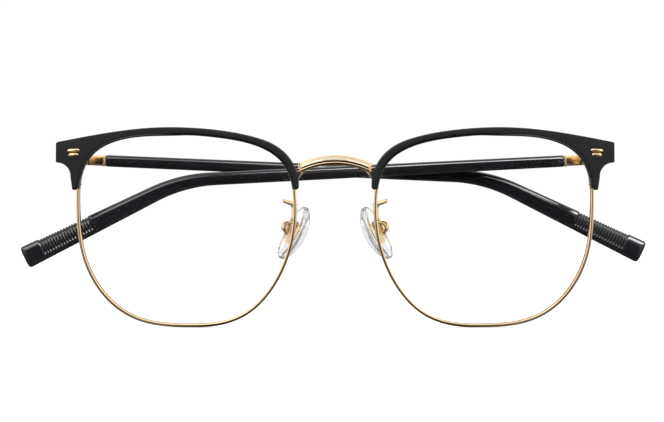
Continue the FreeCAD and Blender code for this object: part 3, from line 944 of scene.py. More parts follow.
@dataclass
class Studio:
    """Camera, floor and light of a plain white product picture."""

    camera_place: Triple = (-0.75, -610.0, 5.2)
    focal_pixels: float = 2544.0
    image_pixels: float = 664.0
    sensor_width: float = 36.0
    nearest: float = 10.0
    floor_half: float = 6000.0
    sky_colour: Triple = (1.05, 1.05, 1.05)
    dark_inner: float = 13.0
    dark_outer: float = 19.0
    dark_top: float = 20.0
    dark_top_fade: float = 4.0
    dark_light: float = 0.02
    ground_angles: Pair = (92.0, 70.0)
    ground_light: float = 0.15
    lamps: tuple[Lamp, ...] = (
        Lamp("right_strip", (405.0, -558.0, 600.0), (900.0, 400.0), 24.0, for_arms_only=True),
        Lamp("left_strip", (-405.0, -558.0, 600.0), (900.0, 400.0), 5.0, for_arms_only=True),
        Lamp("key_light", (-500.0, -500.0, 900.0), (700.0, 700.0), 2.0),
        Lamp("fill_light", (700.0, -300.0, 700.0), (600.0, 600.0), 1.2),
        Lamp("back_light", (0.0, 900.0, 700.0), (900.0, 900.0), 2.0),
    )
    strips: list[bpy.types.Object] = field(init=False, default_factory=list)

    def build(self, lowest: float) -> None:
        """Sets the picture up round the object.

        Args:
            lowest: The height that the floor lies at, in metres.
        """
        self._camera()
        self._floor(lowest)
        self._sky()
        for lamp in self.lamps:
            light = lamp.build()
            if lamp.for_arms_only:
                self.strips.append(light)
        bpy.context.scene.view_settings.view_transform = "Standard"

    def strips_on(self, pieces: list[bpy.types.Object]) -> None:
        """Lets the strip lights shine on some pieces only.

        Args:
            pieces: The pieces that they light.
        """
        lit = bpy.data.collections.new("strip_lit")
        for piece in pieces:
            lit.objects.link(piece)
        for strip in self.strips:
            strip.light_linking.receiver_collection = lit

    def _camera(self) -> None:
        """The camera, level and square to the front."""
        data = bpy.data.cameras.new("camera")
        data.sensor_width = self.sensor_width
        data.lens = self.focal_pixels * self.sensor_width / self.image_pixels
        data.clip_start = self.nearest * MM
        camera = bpy.data.objects.new("camera", data)
        camera.location = Vector(self.camera_place) * MM
        camera.rotation_euler = (QUARTER_TURN, 0.0, 0.0)
        bpy.context.scene.collection.objects.link(camera)
        bpy.context.scene.camera = camera

    def _floor(self, lowest: float) -> None:
        """The pale floor, which polished metal doesn't mirror.

        Args:
            lowest: The height that it lies at, in metres.
        """
        half = self.floor_half * MM
        shape = bmesh.new()
        corners = ((-half, -half), (half, -half), (half, half), (-half, half))
        shape.faces.new([shape.verts.new((x, y, lowest)) for x, y in corners])
        mesh = to_mesh("floor", shape)
        mesh.materials.append(WHITE_PAPER.material())
        floor = linked("floor", mesh)
        floor.visible_glossy = False
        floor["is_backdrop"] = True

    def _sky(self) -> None:
        """A white surround with a dark band behind the camera and a dimmer ground, white to the camera."""
        world = bpy.data.worlds.new("studio")
        bpy.context.scene.world = world
        world.use_nodes = True
        tree = world.node_tree
        tree.nodes.clear()
        place = add_node(tree, "ShaderNodeTexCoord", {}, "Generated")
        flat = {0: place, 1: (1.0, 1.0, 0.0)}
        level = add_node(tree, "ShaderNodeVectorMath", flat, operation="MULTIPLY")
        heading = add_node(tree, "ShaderNodeVectorMath", {0: level}, operation="NORMALIZE")
        width = (self.dark_outer, self.dark_inner)
        band = self._fade(tree, heading, (0.0, -1.0, 0.0), width, (1.0, self.dark_light))
        above = 90.0 - self.dark_top
        height = (above, above - self.dark_top_fade)
        over = self._fade(tree, place, (0.0, 0.0, 1.0), height, (0.0, 1.0))
        ground = self._fade(tree, place, (0.0, 0.0, -1.0), self.ground_angles, (1.0, self.ground_light))
        seen = add_node(tree, "ShaderNodeLightPath", {}, "Is Camera Ray")
        light = band
        for operation, other in (("MAXIMUM", over), ("MINIMUM", ground), ("MAXIMUM", seen)):
            light = add_node(tree, "ShaderNodeMath", {0: light, 1: other}, operation=operation)
        colour = {"Color": (*self.sky_colour, 1.0), "Strength": light}
        sky = add_node(tree, "ShaderNodeBackground", colour)
        out = tree.nodes.new("ShaderNodeOutputWorld")
        tree.links.new(sky, out.inputs["Surface"])

    @staticmethod
    def _fade(
        tree: bpy.types.NodeTree, place: bpy.types.NodeSocket, axis: Triple, angles: Pair, light: Pair
    ) -> bpy.types.NodeSocket:
        """Makes a brightness that changes with the angle from an axis.

        Args:
            tree: The sky's node tree.
            place: The socket with the direction.
            axis: The axis that the angle is measured from.
            angles: The outer and the inner angle.
            light: The brightness at each of them.

        Returns:
            The socket with the brightness.
        """
        near = add_node(tree, "ShaderNodeVectorMath", {0: place, 1: axis}, "Value", operation="DOT_PRODUCT")
        limits = {
            "Value": near,
            "From Min": math.cos(math.radians(angles[0])),
            "From Max": math.cos(math.radians(angles[1])),
            "To Min": light[0],
            "To Max": light[1],
        }
        return add_node(tree, "ShaderNodeMapRange", limits, "Result", interpolation_type="SMOOTHSTEP")


@dataclass
class Rim:
    """One lens with its eyewire, brow cap, plate, rivets and closing block."""

    side: Side
    shop: Workshop
    wire_width: float = 0.8
    wire_inside: float = 0.47
    wire_half_depth: float = 1.1
    wire_round: float = 0.3
    wire_steps: int = 360
    smoothing_rounds: int = 6
    smoothing_share: float = 0.25
    groove_half: float = 0.63
    groove_depth: float = 0.5
    saw_cut: float = 0.04
    lens_front: float = 0.65
    lens_bevel: float = 0.1
    lens_rings: int = 24
    lens_inner_share: float = 0.02
    lens_outer_share: float = 0.96
    lens_edge_shares: Pair = (0.985, 0.996)
    cap_lip: float = 0.67
    cap_round: float = 0.22
    cap_step: float = 0.62
    cap_near_wire: float = 0.6
    cap_body_start: float = 0.9
    lip_back_round: float = 0.03
    body_front_round: float = 0.01
    body_back_round: float = 0.08
    rivet_count: int = 2
    rivet_length: float = 3.15
    rivet_height: float = 0.84
    rivet_proud: float = 0.4
    rivet_point: float = 0.4
    rivet_shoulder: float = 0.4
    rivet_crown: float = 0.3
    rivet_crown_taper: float = 0.25
    rivet_round: float = 0.09
    metal: tuple[MetalPiece, ...] = (
        MetalPiece("brow_plate", 0.06),
        MetalPiece("closing_block", 0.12),
        MetalPiece("closing_screw", 0.06, SCREW_GOLD),
    )

    def build(self) -> None:
        """Builds and dresses every piece of this rim."""
        lens = FaceRegion(self.side.node("lens"), Facing.FRONT)
        cap_front = FaceRegion(self.side.node("brow_cap"), Facing.FRONT)
        self._lens(lens)
        self._eyewire(lens, cap_front)
        self._brow_cap(lens, cap_front)
        self._rivets()
        for piece in self.metal:
            piece.build(self.side)

    def _lens(self, face: FaceRegion) -> None:
        """The clear lens: two curved faces in rings, with a small safety bevel.

        Args:
            face: The lens's front face.
        """
        node = self.side.node("lens")
        rear = FaceRegion(node, Facing.BACK)
        rear.axes = face.axes
        middle = face.middle
        shares = np.linspace(self.lens_inner_share, self.lens_outer_share, self.lens_rings)
        shares = np.concatenate((shares, self.lens_edge_shares))
        flats = [middle + (face.outline - middle) * share for share in shares]
        edge = self.lens_bevel * MM
        rings = [(flat, rear.depth(flat)) for flat in flats]
        rings.append((face.outline, rear.depth(face.outline) - edge))
        rings.append((face.outline, face.depth(face.outline) + edge))
        rings += [(flat, face.depth(flat)) for flat in flats[::-1]]
        table = np.array([face.solid(*ring) for ring in rings])
        lens = finished(node, smoothed(skinned(shown(node), table)), CLEAR_LENS, FRONT_BODY)
        lens.visible_glossy = False
        lens.visible_shadow = False

    def _brow_cap(self, lens: FaceRegion, face: FaceRegion) -> None:
        """The black cap: a lip that leaves the wire's front free, and a body round the wire.

        Args:
            lens: The lens's front face.
            face: The cap's front face.
        """
        node = self.side.node("brow_cap")
        name = shown(node)
        rear = FaceRegion(node, Facing.BACK)
        rear.axes = face.axes
        near = np.array([self._distance(lens.outline, place) for place in face.outline])
        step = np.where(near < self.cap_near_wire * MM, self.cap_step * MM, 0.0)
        face.outline = inset(face.outline, step)
        lip = self.cap_lip * MM
        start = self.cap_body_start * lip
        lip_back = (lambda places: face.depth(places) + lip, self.lip_back_round)
        body_front = (lambda places: face.depth(places) + start, self.body_front_round)
        front = slab(name, face, (face.depth, self.cap_round), lip_back)
        body = slab(name, rear, body_front, (rear.depth, self.body_back_round))
        finished(node, smoothed(joined(name, front, body)), MATT_BLACK, FRONT_BODY)

    def _eyewire(self, lens: FaceRegion, cap_front: FaceRegion) -> None:
        """The grooved wire round the lens, black where the cap covers it.

        Args:
            lens: The lens's front face, whose outline the wire follows.
            cap_front: The cap's front face, whose outline covers the wire.
        """
        node = self.side.node("eyewire")
        name = shown(node)
        block_low, block_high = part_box(self.side.node("closing_block"))
        block = (np.array(block_low + block_high) / 2.0) @ lens.axes.T
        flat = self._resampled(lens.outline, block[:2])
        ahead = np.gradient(flat, axis=0)
        ahead = ahead / np.linalg.norm(ahead, axis=1)[:, None]
        outward = np.column_stack((ahead[:, 1], -ahead[:, 0], np.zeros(len(flat)))) @ lens.axes
        path = lens.solid(flat, lens.depth(flat) + self.lens_front * MM)
        covered = np.array([float(self._inside(cap_front.outline, place)) for place in flat])
        start = marked(chain(name + "_path", path), outward=outward, second=covered)
        section = linked(name + "_section", chain(name + "_section", self._profile(), True))
        finishes = {"Finish": GOLD.material(), "Marked finish": LACQUER_BLACK.material()}
        mesh = self.shop.section.grow(name, start, {"Section": section, **finishes})
        bpy.data.objects.remove(section)
        finished(node, smoothed(mesh), GOLD, FRONT_BODY)

    def _resampled(self, outline: np.ndarray, start: np.ndarray) -> np.ndarray:
        """Spreads places along a smooth closed outline, from one side of the saw cut to the other.

        Args:
            outline: The lens's outline.
            start: The flat place of the closing block.

        Returns:
            The places along the wire's path.
        """
        first = int(np.argmin(((outline - start) ** 2).sum(axis=1)))
        ring = np.roll(outline, -first, axis=0)
        ring = np.vstack((ring, ring[:1]))
        along = np.concatenate(([0.0], np.cumsum(np.linalg.norm(np.diff(ring, axis=0), axis=1))))
        cut = self.saw_cut / 2.0 * MM
        stops = np.linspace(cut, along[-1] - cut, self.wire_steps)
        places = np.column_stack([np.interp(stops, along, ring[:, axis]) for axis in (0, 1)])
        for _ in range(self.smoothing_rounds):
            bend = places[:-2] + places[2:] - 2.0 * places[1:-1]
            places[1:-1] += self.smoothing_share * bend
        return places

    def _profile(self) -> np.ndarray:
        """The wire's section, with rounded corners and the groove for the lens.

        Returns:
            Its points: outward distance from the lens's edge, and depth from its middle, in metres.
        """
        inner, outer = -self.wire_inside, self.wire_width - self.wire_inside
        half, groove = self.wire_half_depth, self.groove_half
        floor = inner + self.groove_depth
        points = self._corner(outer, half, 0) + self._corner(inner, half, 1)
        points += [(inner, groove), (floor, groove), (floor, -groove), (inner, -groove)]
        points += self._corner(inner, -half, 2) + self._corner(outer, -half, 3)
        return np.array([(x, y, 0.0) for x, y in points]) * MM

    def _corner(self, x: float, y: float, quarter: int) -> list[Pair]:
        """Rounds a corner of the wire's section.

        Args:
            x: The corner's outward distance.
            y: The corner's depth.
            quarter: The quarter of a turn that the corner lies in.

        Returns:
            Points along the round corner.
        """
        turn = QUARTER_TURN * quarter
        middle = turn + QUARTER_TURN / 2.0
        radius = self.wire_round
        cx = x - radius * math.copysign(1.0, math.cos(middle))
        cy = y - radius * math.copysign(1.0, math.sin(middle))
        angles = [turn + QUARTER_TURN * step / CORNER_STEPS for step in range(CORNER_STEPS + 1)]
        return [(cx + radius * math.cos(angle), cy + radius * math.sin(angle)) for angle in angles]

    @staticmethod
    def _distance(outline: np.ndarray, place: np.ndarray) -> float:
        """Measures how far a flat place lies from an outline.

        Args:
            outline: A closed loop.
            place: The place.

        Returns:
            The distance to the nearest point of the loop.
        """
        run = np.roll(outline, -1, axis=0) - outline
        share = ((place - outline) * run).sum(axis=1) / (run**2).sum(axis=1)
        nearest = outline + run * np.clip(share, 0.0, 1.0)[:, None]
        return float(np.linalg.norm(nearest - place, axis=1).min())

    @staticmethod
    def _inside(outline: np.ndarray, place: np.ndarray) -> bool:
        """Tests whether a flat place lies inside an outline.

        Args:
            outline: A closed loop.
            place: The place.

        Returns:
            True where a line to the right crosses the loop an odd number of times.
        """
        after = np.roll(outline, -1, axis=0)
        crosses = (outline[:, 1] > place[1]) != (after[:, 1] > place[1])
        rise = np.where(crosses, after[:, 1] - outline[:, 1], 1.0)
        at = outline[:, 0] + (place[1] - outline[:, 1]) * (after[:, 0] - outline[:, 0]) / rise
        return bool((crosses & (place[0] < at)).sum() % 2)

    def _bar(self, name: str) -> bpy.types.Mesh:
        """A rivet bar: pointed at both ends and crowned, with its foot on the XY plane.

        Args:
            name: The mesh's name.

        Returns:
            The bar's mesh.
        """
        end, high = self.rivet_length / 2.0, self.rivet_height / 2.0
        neck = end - self.rivet_point
        outline = np.array(
            ((end, 0.0), (neck, high), (-neck, high), (-end, 0.0), (-neck, -high), (neck, -high))
        )
        shoulder = self.rivet_shoulder * self.rivet_proud
        rings = []
        for share, rise in ((1.0, 0.0), (1.0, shoulder), (self.rivet_crown, self.rivet_proud)):
            long = 1.0 - self.rivet_crown_taper + self.rivet_crown_taper * share
            level = np.full(len(outline), rise)
            rings.append(np.column_stack((outline[:, 0] * long, outline[:, 1] * share, level)))
        return rounded(skinned(name, np.array(rings) * MM), self.rivet_round)

    def _rivets(self) -> None:
        """The rivet bars on the brow's end."""
        node = self.side.node("brow_rivets")
        name = shown(node)
        places, turns, sizes = [], [], []
        for island in range(self.rivet_count):
            face = FaceRegion(node, Facing.FRONT, island)
            middle = face.middle[None]
            spread = face.outline - middle
            along = np.linalg.svd(spread)[2][0]
            along = along * np.sign(along[0])
            length = 2.0 * np.abs(spread @ along).max()
            across = np.array((along[0], along[1], 0.0)) @ face.axes
            out = -face.axes[2]
            axes = Matrix((across, np.cross(out, across), out)).transposed()
            places.append(face.solid(middle, face.depth(middle) + self.rivet_proud * MM)[0])
            turns.append(tuple(axes.to_euler()))
            sizes.append((length / (self.rivet_length * MM), 1.0, 1.0))
        bar = linked(name + "_bar", self._bar(name + "_bar"))
        points = chain(name + "_points", np.array(places))
        marked(points, turn=np.array(turns), size=np.array(sizes))
        mesh = self.shop.bars.grow(name, points, {"Bar": bar, "Finish": GOLD.material()})
        bpy.data.objects.remove(bar)
        finished(node, smoothed(mesh), GOLD, FRONT_BODY)


@dataclass
class Bridge:
    """The grooved arch between the rims, with its thin brace and end collars.

    The bar's face is given as height from its top and distance to its front, from the top to the
    groove's lower edge. Collar levels are a share of its length and how proud it stands there.
    """

    shop: Workshop
    tilt: float = 5.0
    half_span: float = 8.72
    end_gap: float = 0.05
    rise: float = 2.1
    depth: float = 1.6
    height: float = 2.3
    face: tuple[Pair, ...] = (
        (0.0, -0.62), (-0.04, -0.52), (-0.62, -0.16), (-0.72, -0.13), (-1.12, 0.08), (-1.21, 0.08),
        (-1.24, 0.0), (-1.26, -0.5), (-1.54, -0.5),
    )
    # Faces of the peened band, which take the darker gold of painted shade
    peened_faces_painted_shade: range = range(1, 4)
    # Faces of the bead, which take the paler gold of a painted highlight
    bead_faces_painted_highlight: range = range(4, 7)
    band_top: float = 1.56
    band_sink: float = 0.15
    band_swell: float = 0.5
    band_steps: int = 9
    bar_sharp: float = 28.0
    brace_radius: float = 0.22
    brace_foot: float = 5.65
    brace_gap: float = 0.02
    brace_behind: float = 0.5
    brace_bow: float = 0.12
    brace_power: int = 5
    collar_length: float = 0.85
    collar_levels: tuple[Pair, ...] = ((0.0, -0.3), (0.25, 0.1), (0.6, 0.22), (0.75, 0.16), (1.0, -0.25))
    collar_bevel: float = 0.35
    collar_shoulder: float = 0.5
    collar_round: float = 0.05
    collar_sharp: float = 20.0
    steps: int = 61
    # Plain gold, the peened gold with painted shade, and the bead gold with a painted highlight
    finishes: tuple[Finish, ...] = (GOLD, PEENED_GOLD_PAINTED_SHADE, BEAD_GOLD_PAINTED_HIGHLIGHT)
    top: float = field(init=False)
    front: float = field(init=False)

    def __post_init__(self) -> None:
        """Takes the bar's top and front from the node."""
        points = np.array([tuple(v.co) for v in frame["nodes"]["bridge"].data.vertices]) @ self._tilted()
        self.top = float(points[:, 2].max()) / MM
        self.front = float(points[:, 1].min()) / MM

    def build(self) -> None:
        """Builds and dresses the bridge."""
        pieces = (self._bar(), self._brace(), self._collar(1.0), self._collar(-1.0))
        mesh = joined(shown("bridge"), *pieces)
        for finish in self.finishes:
            mesh.materials.append(finish.material())
        finished("bridge", mesh, GOLD, FRONT_BODY)

    def _tilted(self) -> np.ndarray:
        """The turn of the front, which leans forwards at the top."""
        return np.array(Matrix.Rotation(math.radians(self.tilt), 3, "X"))

    def _world(self, points: np.ndarray) -> np.ndarray:
        """Points of the front's own axes in the object's frame."""
        return points @ self._tilted().T

    def _upright(self, name: str, stations: np.ndarray, section: np.ndarray) -> bpy.types.Mesh:
        """Skins an upright section along the arch.

        Args:
            name: The mesh's name.
            stations: Places across the bridge.
            section: Height from the arch and distance to the front, for all stations or for each.

        Returns:
            The closed mesh.
        """
        radius = (self.half_span**2 + self.rise**2) / (2.0 * self.rise)
        arch = self.top - radius + np.sqrt(radius**2 - stations**2)
        rings = np.empty((len(stations), section.shape[-2], 3))
        rings[..., 0] = stations[:, None]
        rings[..., 1] = self.front - section[..., 1]
        rings[..., 2] = arch[:, None] + section[..., 0]
        return skinned(name, self._world(rings * MM))

    def _bar(self) -> bpy.types.Mesh:
        """The bar: a peened band in a darker gold that paints shade, a bead in a paler gold that paints a
        highlight, a groove and a lower band.

        Returns:
            The bar's mesh, with its faces numbered by their finish.
        """
        points = [(0.0, -self.depth), *self.face]
        half = (self.height - self.band_top) / 2.0
        for turn in np.linspace(0.0, math.pi, self.band_steps):
            swell = self.band_swell * half * math.sin(turn)
            points.append((-self.band_top - half * (1.0 - math.cos(turn)), swell - self.band_sink))
        points.append((-self.height, -self.depth))
        end = self.half_span - self.end_gap
        mesh = self._upright("bridge_bar", np.linspace(-end, end, self.steps), np.array(points))
        for face in mesh.polygons[: (self.steps - 1) * len(points)]:
            place = face.index % len(points)
            if place in self.peened_faces_painted_shade:
                face.material_index = self.finishes.index(PEENED_GOLD_PAINTED_SHADE)
            elif place in self.bead_faces_painted_highlight:
                face.material_index = self.finishes.index(BEAD_GOLD_PAINTED_HIGHLIGHT)
        return smoothed(mesh, self.bar_sharp)

    def _brace(self) -> bpy.types.Mesh:
        """The thin wire under the bar that runs down to the rims.

        Returns:
            The wire's mesh, with its faces numbered by their finish.
        """
        across = np.linspace(-1.0, 1.0, self.steps)
        fall = self.brace_bow * across**2 + (1.0 - self.brace_bow) * np.abs(across) ** self.brace_power
        high = self.top - self.height - self.brace_gap - (self.brace_foot - self.height) * fall
        behind = np.full(self.steps, self.front + self.brace_behind)
        points = np.column_stack((across * self.half_span, behind, high))
        # The brace takes the bead's paler gold, a painted highlight
        values = {"Radius": self.brace_radius * MM, "Finish": BEAD_GOLD_PAINTED_HIGHLIGHT.material()}
        mesh = self.shop.wire.grow("bridge_brace", chain("brace", self._world(points * MM)), values)
        for face in mesh.polygons:
            face.material_index = self.finishes.index(BEAD_GOLD_PAINTED_HIGHLIGHT)
        return smoothed(mesh)

    def _collar(self, hand: float) -> bpy.types.Mesh:
        """The bevelled bright collar at one end of the bar.

        Args:
            hand: The end, 1 on the wearer's left and -1 on the right.

        Returns:
            The collar's mesh.
        """
        sections, stations = [], []
        for share, proud in self.collar_levels:
            low = -self.height - proud
            bevel = proud - self.collar_bevel
            upper = ((proud, -self.depth), (proud, bevel), (-self.collar_shoulder, proud))
            lower = ((low + self.collar_shoulder, proud), (low, bevel), (low, -self.depth))
            sections.append(upper + lower)
            stations.append(hand * (self.half_span - share * self.collar_length))
        mesh = self._upright("bridge_collar", np.array(stations), np.array(sections))
        return smoothed(rounded(mesh, self.collar_round), self.collar_sharp)


@dataclass
class NosePad:
    """One clear pad on its metal leaf, box, screw and arm.

    The outline is given in shares of the half width and the half length.
    """

    side: Side
    spread: float = 10.1
    tilt: float = 5.0
    lean: float = 27.5
    splay: float = 28.0
    length: float = 13.8
    width: float = 6.4
    back: float = 0.75
    nose: float = -2.55
    crown_radius: float = 14.1
    rounding: float = 0.6
    rounding_steps: int = 6
    outline: tuple[Pair, ...] = (
        (0.0, 1.0), (0.78, 0.62), (1.0, 0.0), (0.8, -0.6), (0.0, -1.0), (-0.72, -0.6), (-0.9, 0.0),
        (-0.7, 0.62),
    )
    ring_shares: tuple[float, ...] = (0.15, 0.4, 0.6, 0.75, 0.87, 0.95)
    around: int = 72
    sharp: float = 80.0
    metal: tuple[MetalPiece, ...] = (
        MetalPiece("pad_insert", 0.08, side_body="pad"),
        MetalPiece("pad_box", 0.14),
        MetalPiece("pad_screw", 0.05, SCREW_GOLD),
        MetalPiece("pad_arm", 0.05),
    )

    def build(self) -> None:
        """Builds and dresses the pad and its metal pieces."""
        node = self.side.node("nose_pad")
        finished(node, smoothed(self._pad(shown(node)), self.sharp), CLEAR_PAD, self.side.node("pad"))
        for piece in self.metal:
            piece.build(self.side)

    def _pad(self, name: str) -> bpy.types.Mesh:
        """The pad: a flat back, round rims and a crowned nose side.

        Args:
            name: The mesh's name.

        Returns:
            The pad's mesh.
        """
        loop = self._smooth_outline()
        rims = []
        for turn in np.linspace(0.0, QUARTER_TURN, self.rounding_steps):
            rims.append((inset(loop, self.rounding * (1.0 - math.sin(turn))), 1.0 - math.cos(turn)))
        levels = [(rims[0][0] * share, 0.0) for share in self.ring_shares] + rims
        rings = []
        for flat, drop in levels:
            rings.append(np.column_stack((np.full(len(flat), self.back - drop * self.rounding), flat)))
        for flat, drop in levels[::-1]:
            crown = self.nose + (flat**2).sum(axis=1) / (2.0 * self.crown_radius)
            rings.append(np.column_stack((crown + drop * self.rounding, flat)))
        return skinned(name, np.array([self._place(ring) for ring in rings]))

    def _smooth_outline(self) -> np.ndarray:
        """A smooth closed curve through the outline's points, by its Fourier series.

        Returns:
            Points along the curve.
        """
        points = np.array([y * self.width / 2.0 + 1j * z * self.length / 2.0 for y, z in self.outline])
        waves = np.fft.fft(points) / len(points)
        orders = np.fft.fftfreq(len(points), 1.0 / len(points))
        turns = np.linspace(0.0, 2.0 * math.pi, self.around, endpoint=False)
        curve = (waves[None] * np.exp(1j * turns[:, None] * orders[None])).sum(axis=1)
        return np.column_stack((curve.real, curve.imag))[::-1]

    def _place(self, points: np.ndarray) -> np.ndarray:
        """Puts points of the pad's own frame into the object's frame.

        Args:
            points: The points.

        Returns:
            The points in the object's frame, in metres.
        """
        pad = (
            Matrix.Rotation(math.radians(self.tilt), 4, "X")
            @ Matrix.Translation((self.spread, 0.0, 0.0))
            @ Matrix.Rotation(-math.radians(self.lean), 4, "Y")
            @ Matrix.Rotation(-math.radians(self.splay), 4, "Z")
        )
        table = np.array(pad)
        return (points @ table[:3, :3].T + table[:3, 3]) * self.side.mirror * MM


@dataclass
class Hinge:
    """The end piece, the hinge's leaves and its screw."""

    side: Side
    metal: tuple[MetalPiece, ...] = (
        MetalPiece("endpiece", 0.15),
        MetalPiece("hinge_front_leaf", 0.08),
        MetalPiece("hinge_screw", 0.06, SCREW_GOLD),
        MetalPiece("hinge_temple_leaf", 0.08, side_body="temple"),
    )

    def build(self) -> None:
        """Dresses the hinge's pieces."""
        for piece in self.metal:
            piece.build(self.side)


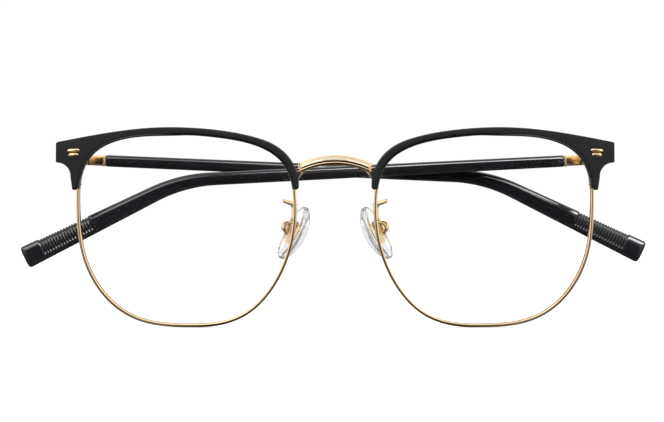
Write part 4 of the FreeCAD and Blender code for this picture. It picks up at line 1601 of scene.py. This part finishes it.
@dataclass
class TempleArm:
    """One side arm with its ferrule, core wire and ribbed tip."""

    side: Side
    shop: Workshop
    rest_fold: float
    length: float = 140.0
    tip_run: float = 49.2
    bend: float = 23.4
    bend_radius: float = 36.0
    beside_pin: float = 2.55
    ferrule_length: float = 5.95
    ferrule_height: float = 2.55
    ferrule_thickness: float = 2.4
    ferrule_chamfer: float = 0.35
    ferrule_round: float = 0.06
    ferrule_sharp: float = 20.0
    butt_gap: float = 0.12
    butt_bevel: float = 0.12
    collar_length: float = 0.5
    collar_proud: float = 0.14
    collar_steps: int = 9
    arm_gap: float = 0.01
    arm_sharp: float = 60.0
    heights: Triple = (2.85, 3.15, 5.5)
    thicknesses: Pair = (2.7, 3.5)
    roundness: float = 2.8
    start_round: float = 0.5
    tip_round: float = 0.8
    tip_cap: float = 4.8
    rib_count: int = 18
    rib_pitch: float = 0.74
    rib_recess: float = 0.06
    rib_depth: float = 0.28
    rib_margin: float = 0.3
    rings_in_rib: int = 10
    rings_in_end: int = 6
    rings_before_bend: int = 24
    rings_in_bend: int = 40
    smooth_strip: float = 0.56
    strip_fade: float = 0.12
    around: int = 48
    core: MetalPiece = MetalPiece("core_wire", 0.05, CORE_STEEL, "temple")

    def build(self) -> bpy.types.Object:
        """Builds and dresses the arm, its ferrule and its core.

        Returns:
            The arm's object.
        """
        node = self.side.node("temple")
        arm = finished(node, smoothed(self._arm(shown(node)), self.arm_sharp), GLOSS_BLACK, node)
        sleeve = self.side.node("ferrule")
        finished(sleeve, smoothed(self._ferrule(shown(sleeve)), self.ferrule_sharp), GOLD, node)
        self.core.build(self.side)
        return arm

    @property
    def bend_start(self) -> float:
        """The distance along the arm where its bend starts."""
        return self.length - self.tip_run

    @property
    def rib_start(self) -> float:
        """The distance along the arm where its ribs start."""
        return self.length - self.tip_cap - self.rib_count * self.rib_pitch

    def _stations(self, along: np.ndarray) -> tuple[np.ndarray, np.ndarray]:
        """Points of the arm's middle line and the direction upwards at each.

        Args:
            along: Distances along the arm from the hinge pin.

        Returns:
            The points and the directions, in the arm's own frame.
        """
        whole = math.radians(self.bend)
        angle = np.clip((along - self.bend_start) / self.bend_radius, 0.0, whole)
        after = np.maximum(along - self.bend_start - self.bend_radius * whole, 0.0)
        back = np.minimum(along, self.bend_start) + self.bend_radius * np.sin(angle) + after * np.cos(angle)
        down = self.bend_radius * (1.0 - np.cos(angle)) + after * np.sin(angle)
        side = np.full(len(along), self.beside_pin)
        up = np.column_stack((-np.sin(angle), np.zeros(len(along)), np.cos(angle)))
        return np.column_stack((-back, side, -down)), up

    def _place(self, points: np.ndarray) -> np.ndarray:
        """Puts points of the arm's own frame into the object's frame, folded as at rest.

        Args:
            points: The points, in an array of any shape.

        Returns:
            The points in the object's frame, in metres.
        """
        name = self.side.node("temple_fold")
        joint = next(one for one in frame["record"]["behaviour"]["joints"] if one["name"] == name)
        droop = math.asin(joint["axis"][0])
        turn = Matrix.Rotation(-droop, 3, "Y") @ Matrix.Rotation(math.radians(self.rest_fold), 3, "Z")
        pin = np.array(joint["pos_m"]) * self.side.mirror
        return (points @ np.array(turn).T * MM + pin) * self.side.mirror

    def _ring_stops(self) -> np.ndarray:
        """Distances along the arm at which its rings lie, close together along the ribs.

        Returns:
            The distances, from the arm's start to its tip.
        """
        first, last = self.rib_start, self.length - self.tip_cap
        start = self.ferrule_length + self.arm_gap
        before_ribs, after_ribs = first - self.rib_margin, last + self.rib_margin
        into_start = np.linspace(0.0, QUARTER_TURN, self.rings_in_end)
        into_tip = np.linspace(0.0, QUARTER_TURN, self.rings_in_end + 1)[1:]
        parts = [
            start + self.start_round * (1.0 - np.cos(into_start)),
            np.linspace(start + self.start_round, self.bend_start, self.rings_before_bend)[1:],
            np.linspace(self.bend_start, before_ribs, self.rings_in_bend)[1:],
            np.linspace(first, last, self.rib_count * self.rings_in_rib + 1),
            np.linspace(after_ribs, self.length - self.tip_round, self.rings_in_end),
            self.length - self.tip_round * (1.0 - np.sin(into_tip)),
        ]
        return np.concatenate(parts)

    def _arm(self, name: str) -> bpy.types.Mesh:
        """The black arm: a rounded bar that widens to its tip, with cross grooves near the end.

        Args:
            name: The mesh's name.

        Returns:
            The arm's mesh.
        """
        stops = self._ring_stops()
        points, up = self._stations(stops)
        height = np.interp(stops, (self.ferrule_length, self.bend_start, self.length), self.heights)
        thickness = np.interp(stops, (self.ferrule_length, self.length), self.thicknesses)
        into_start = np.clip(1.0 - (stops - self.ferrule_length) / self.start_round, 0.0, 1.0)
        into_tip = np.clip(1.0 - (self.length - stops) / self.tip_round, 0.0, 1.0)
        trim = self.start_round * (1.0 - np.sqrt(1.0 - into_start**2))
        trim = trim + self.tip_round * (1.0 - np.sqrt(1.0 - into_tip**2))
        turns = np.linspace(0.0, 2.0 * math.pi, self.around, endpoint=False)
        power = 2.0 / self.roundness
        wide = np.sign(np.cos(turns)) * np.abs(np.cos(turns)) ** power
        high = np.sign(np.sin(turns)) * np.abs(np.sin(turns)) ** power
        side = np.array((0.0, 1.0, 0.0))
        rings = points[:, None] + (thickness / 2.0 - trim)[:, None, None] * wide[None, :, None] * side
        rings = rings + (height / 2.0 - trim)[:, None, None] * high[None, :, None] * up[:, None]
        mesh = skinned(name, self._place(rings))
        mask = np.clip((high + self.smooth_strip) / self.strip_fade, 0.0, 1.0)
        marked(mesh, along=np.repeat(stops, self.around), mask=np.tile(mask, len(stops)))
        values = {
            "First": self.rib_start,
            "Pitch": self.rib_pitch,
            "Ribs": float(self.rib_count),
            "Recess": self.rib_recess * MM,
            "Depth": self.rib_depth * MM,
            "Finish": GLOSS_BLACK.material(),
        }
        return self.shop.ribs.grow(name, mesh, values)

    def _ferrule(self, name: str) -> bpy.types.Mesh:
        """The gold sleeve: eight flats, and a thin round collar where the black arm starts.

        Args:
            name: The mesh's name.

        Returns:
            The sleeve's mesh.
        """
        collar = self.ferrule_length - self.collar_length
        levels = [(self.butt_gap, -self.butt_bevel), (self.butt_gap + self.butt_bevel, 0.0), (collar, 0.0)]
        for turn in np.linspace(0.0, math.pi, self.collar_steps):
            along = collar + self.collar_length * (1.0 - math.cos(turn)) / 2.0
            levels.append((along, self.collar_proud * math.sin(turn)))
        cut = self.ferrule_chamfer
        rings = []
        for along, grow in levels:
            wide, high = self.ferrule_thickness / 2.0 + grow, self.ferrule_height / 2.0 + grow
            corners = ((wide - cut, high), (wide, high - cut), (wide, cut - high), (wide - cut, -high))
            corners += ((cut - wide, -high), (-wide, cut - high), (-wide, high - cut), (cut - wide, high))
            rings.append([(-along, self.beside_pin + across, rise) for across, rise in corners])
        return rounded(skinned(name, self._place(np.array(rings))), self.ferrule_round)


# How far each temple is turned from straight across, folded as at rest
REST_FOLD = {Side.LEFT: 2.0, Side.RIGHT: -1.5}


def main() -> None:
    """Builds the picture and every piece, with the floor at the lowest point of the pieces as imported."""
    logging.basicConfig(level=logging.INFO, format="%(name)s: %(message)s")
    kept = set(frame["nodes"].values()) | set(frame["bodies"].values())
    for start_up in [thing for thing in bpy.data.objects if thing not in kept]:
        bpy.data.objects.remove(start_up)
    cad_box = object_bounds()
    studio = Studio()
    studio.build(cad_box[0].z)
    shop = Workshop()
    Bridge(shop).build()
    arms = []
    for side in Side:
        Rim(side, shop).build()
        NosePad(side).build()
        Hinge(side).build()
        arms.append(TempleArm(side, shop, REST_FOLD[side]).build())
    studio.strips_on(arms)


if __name__ == "__main__":
    main()
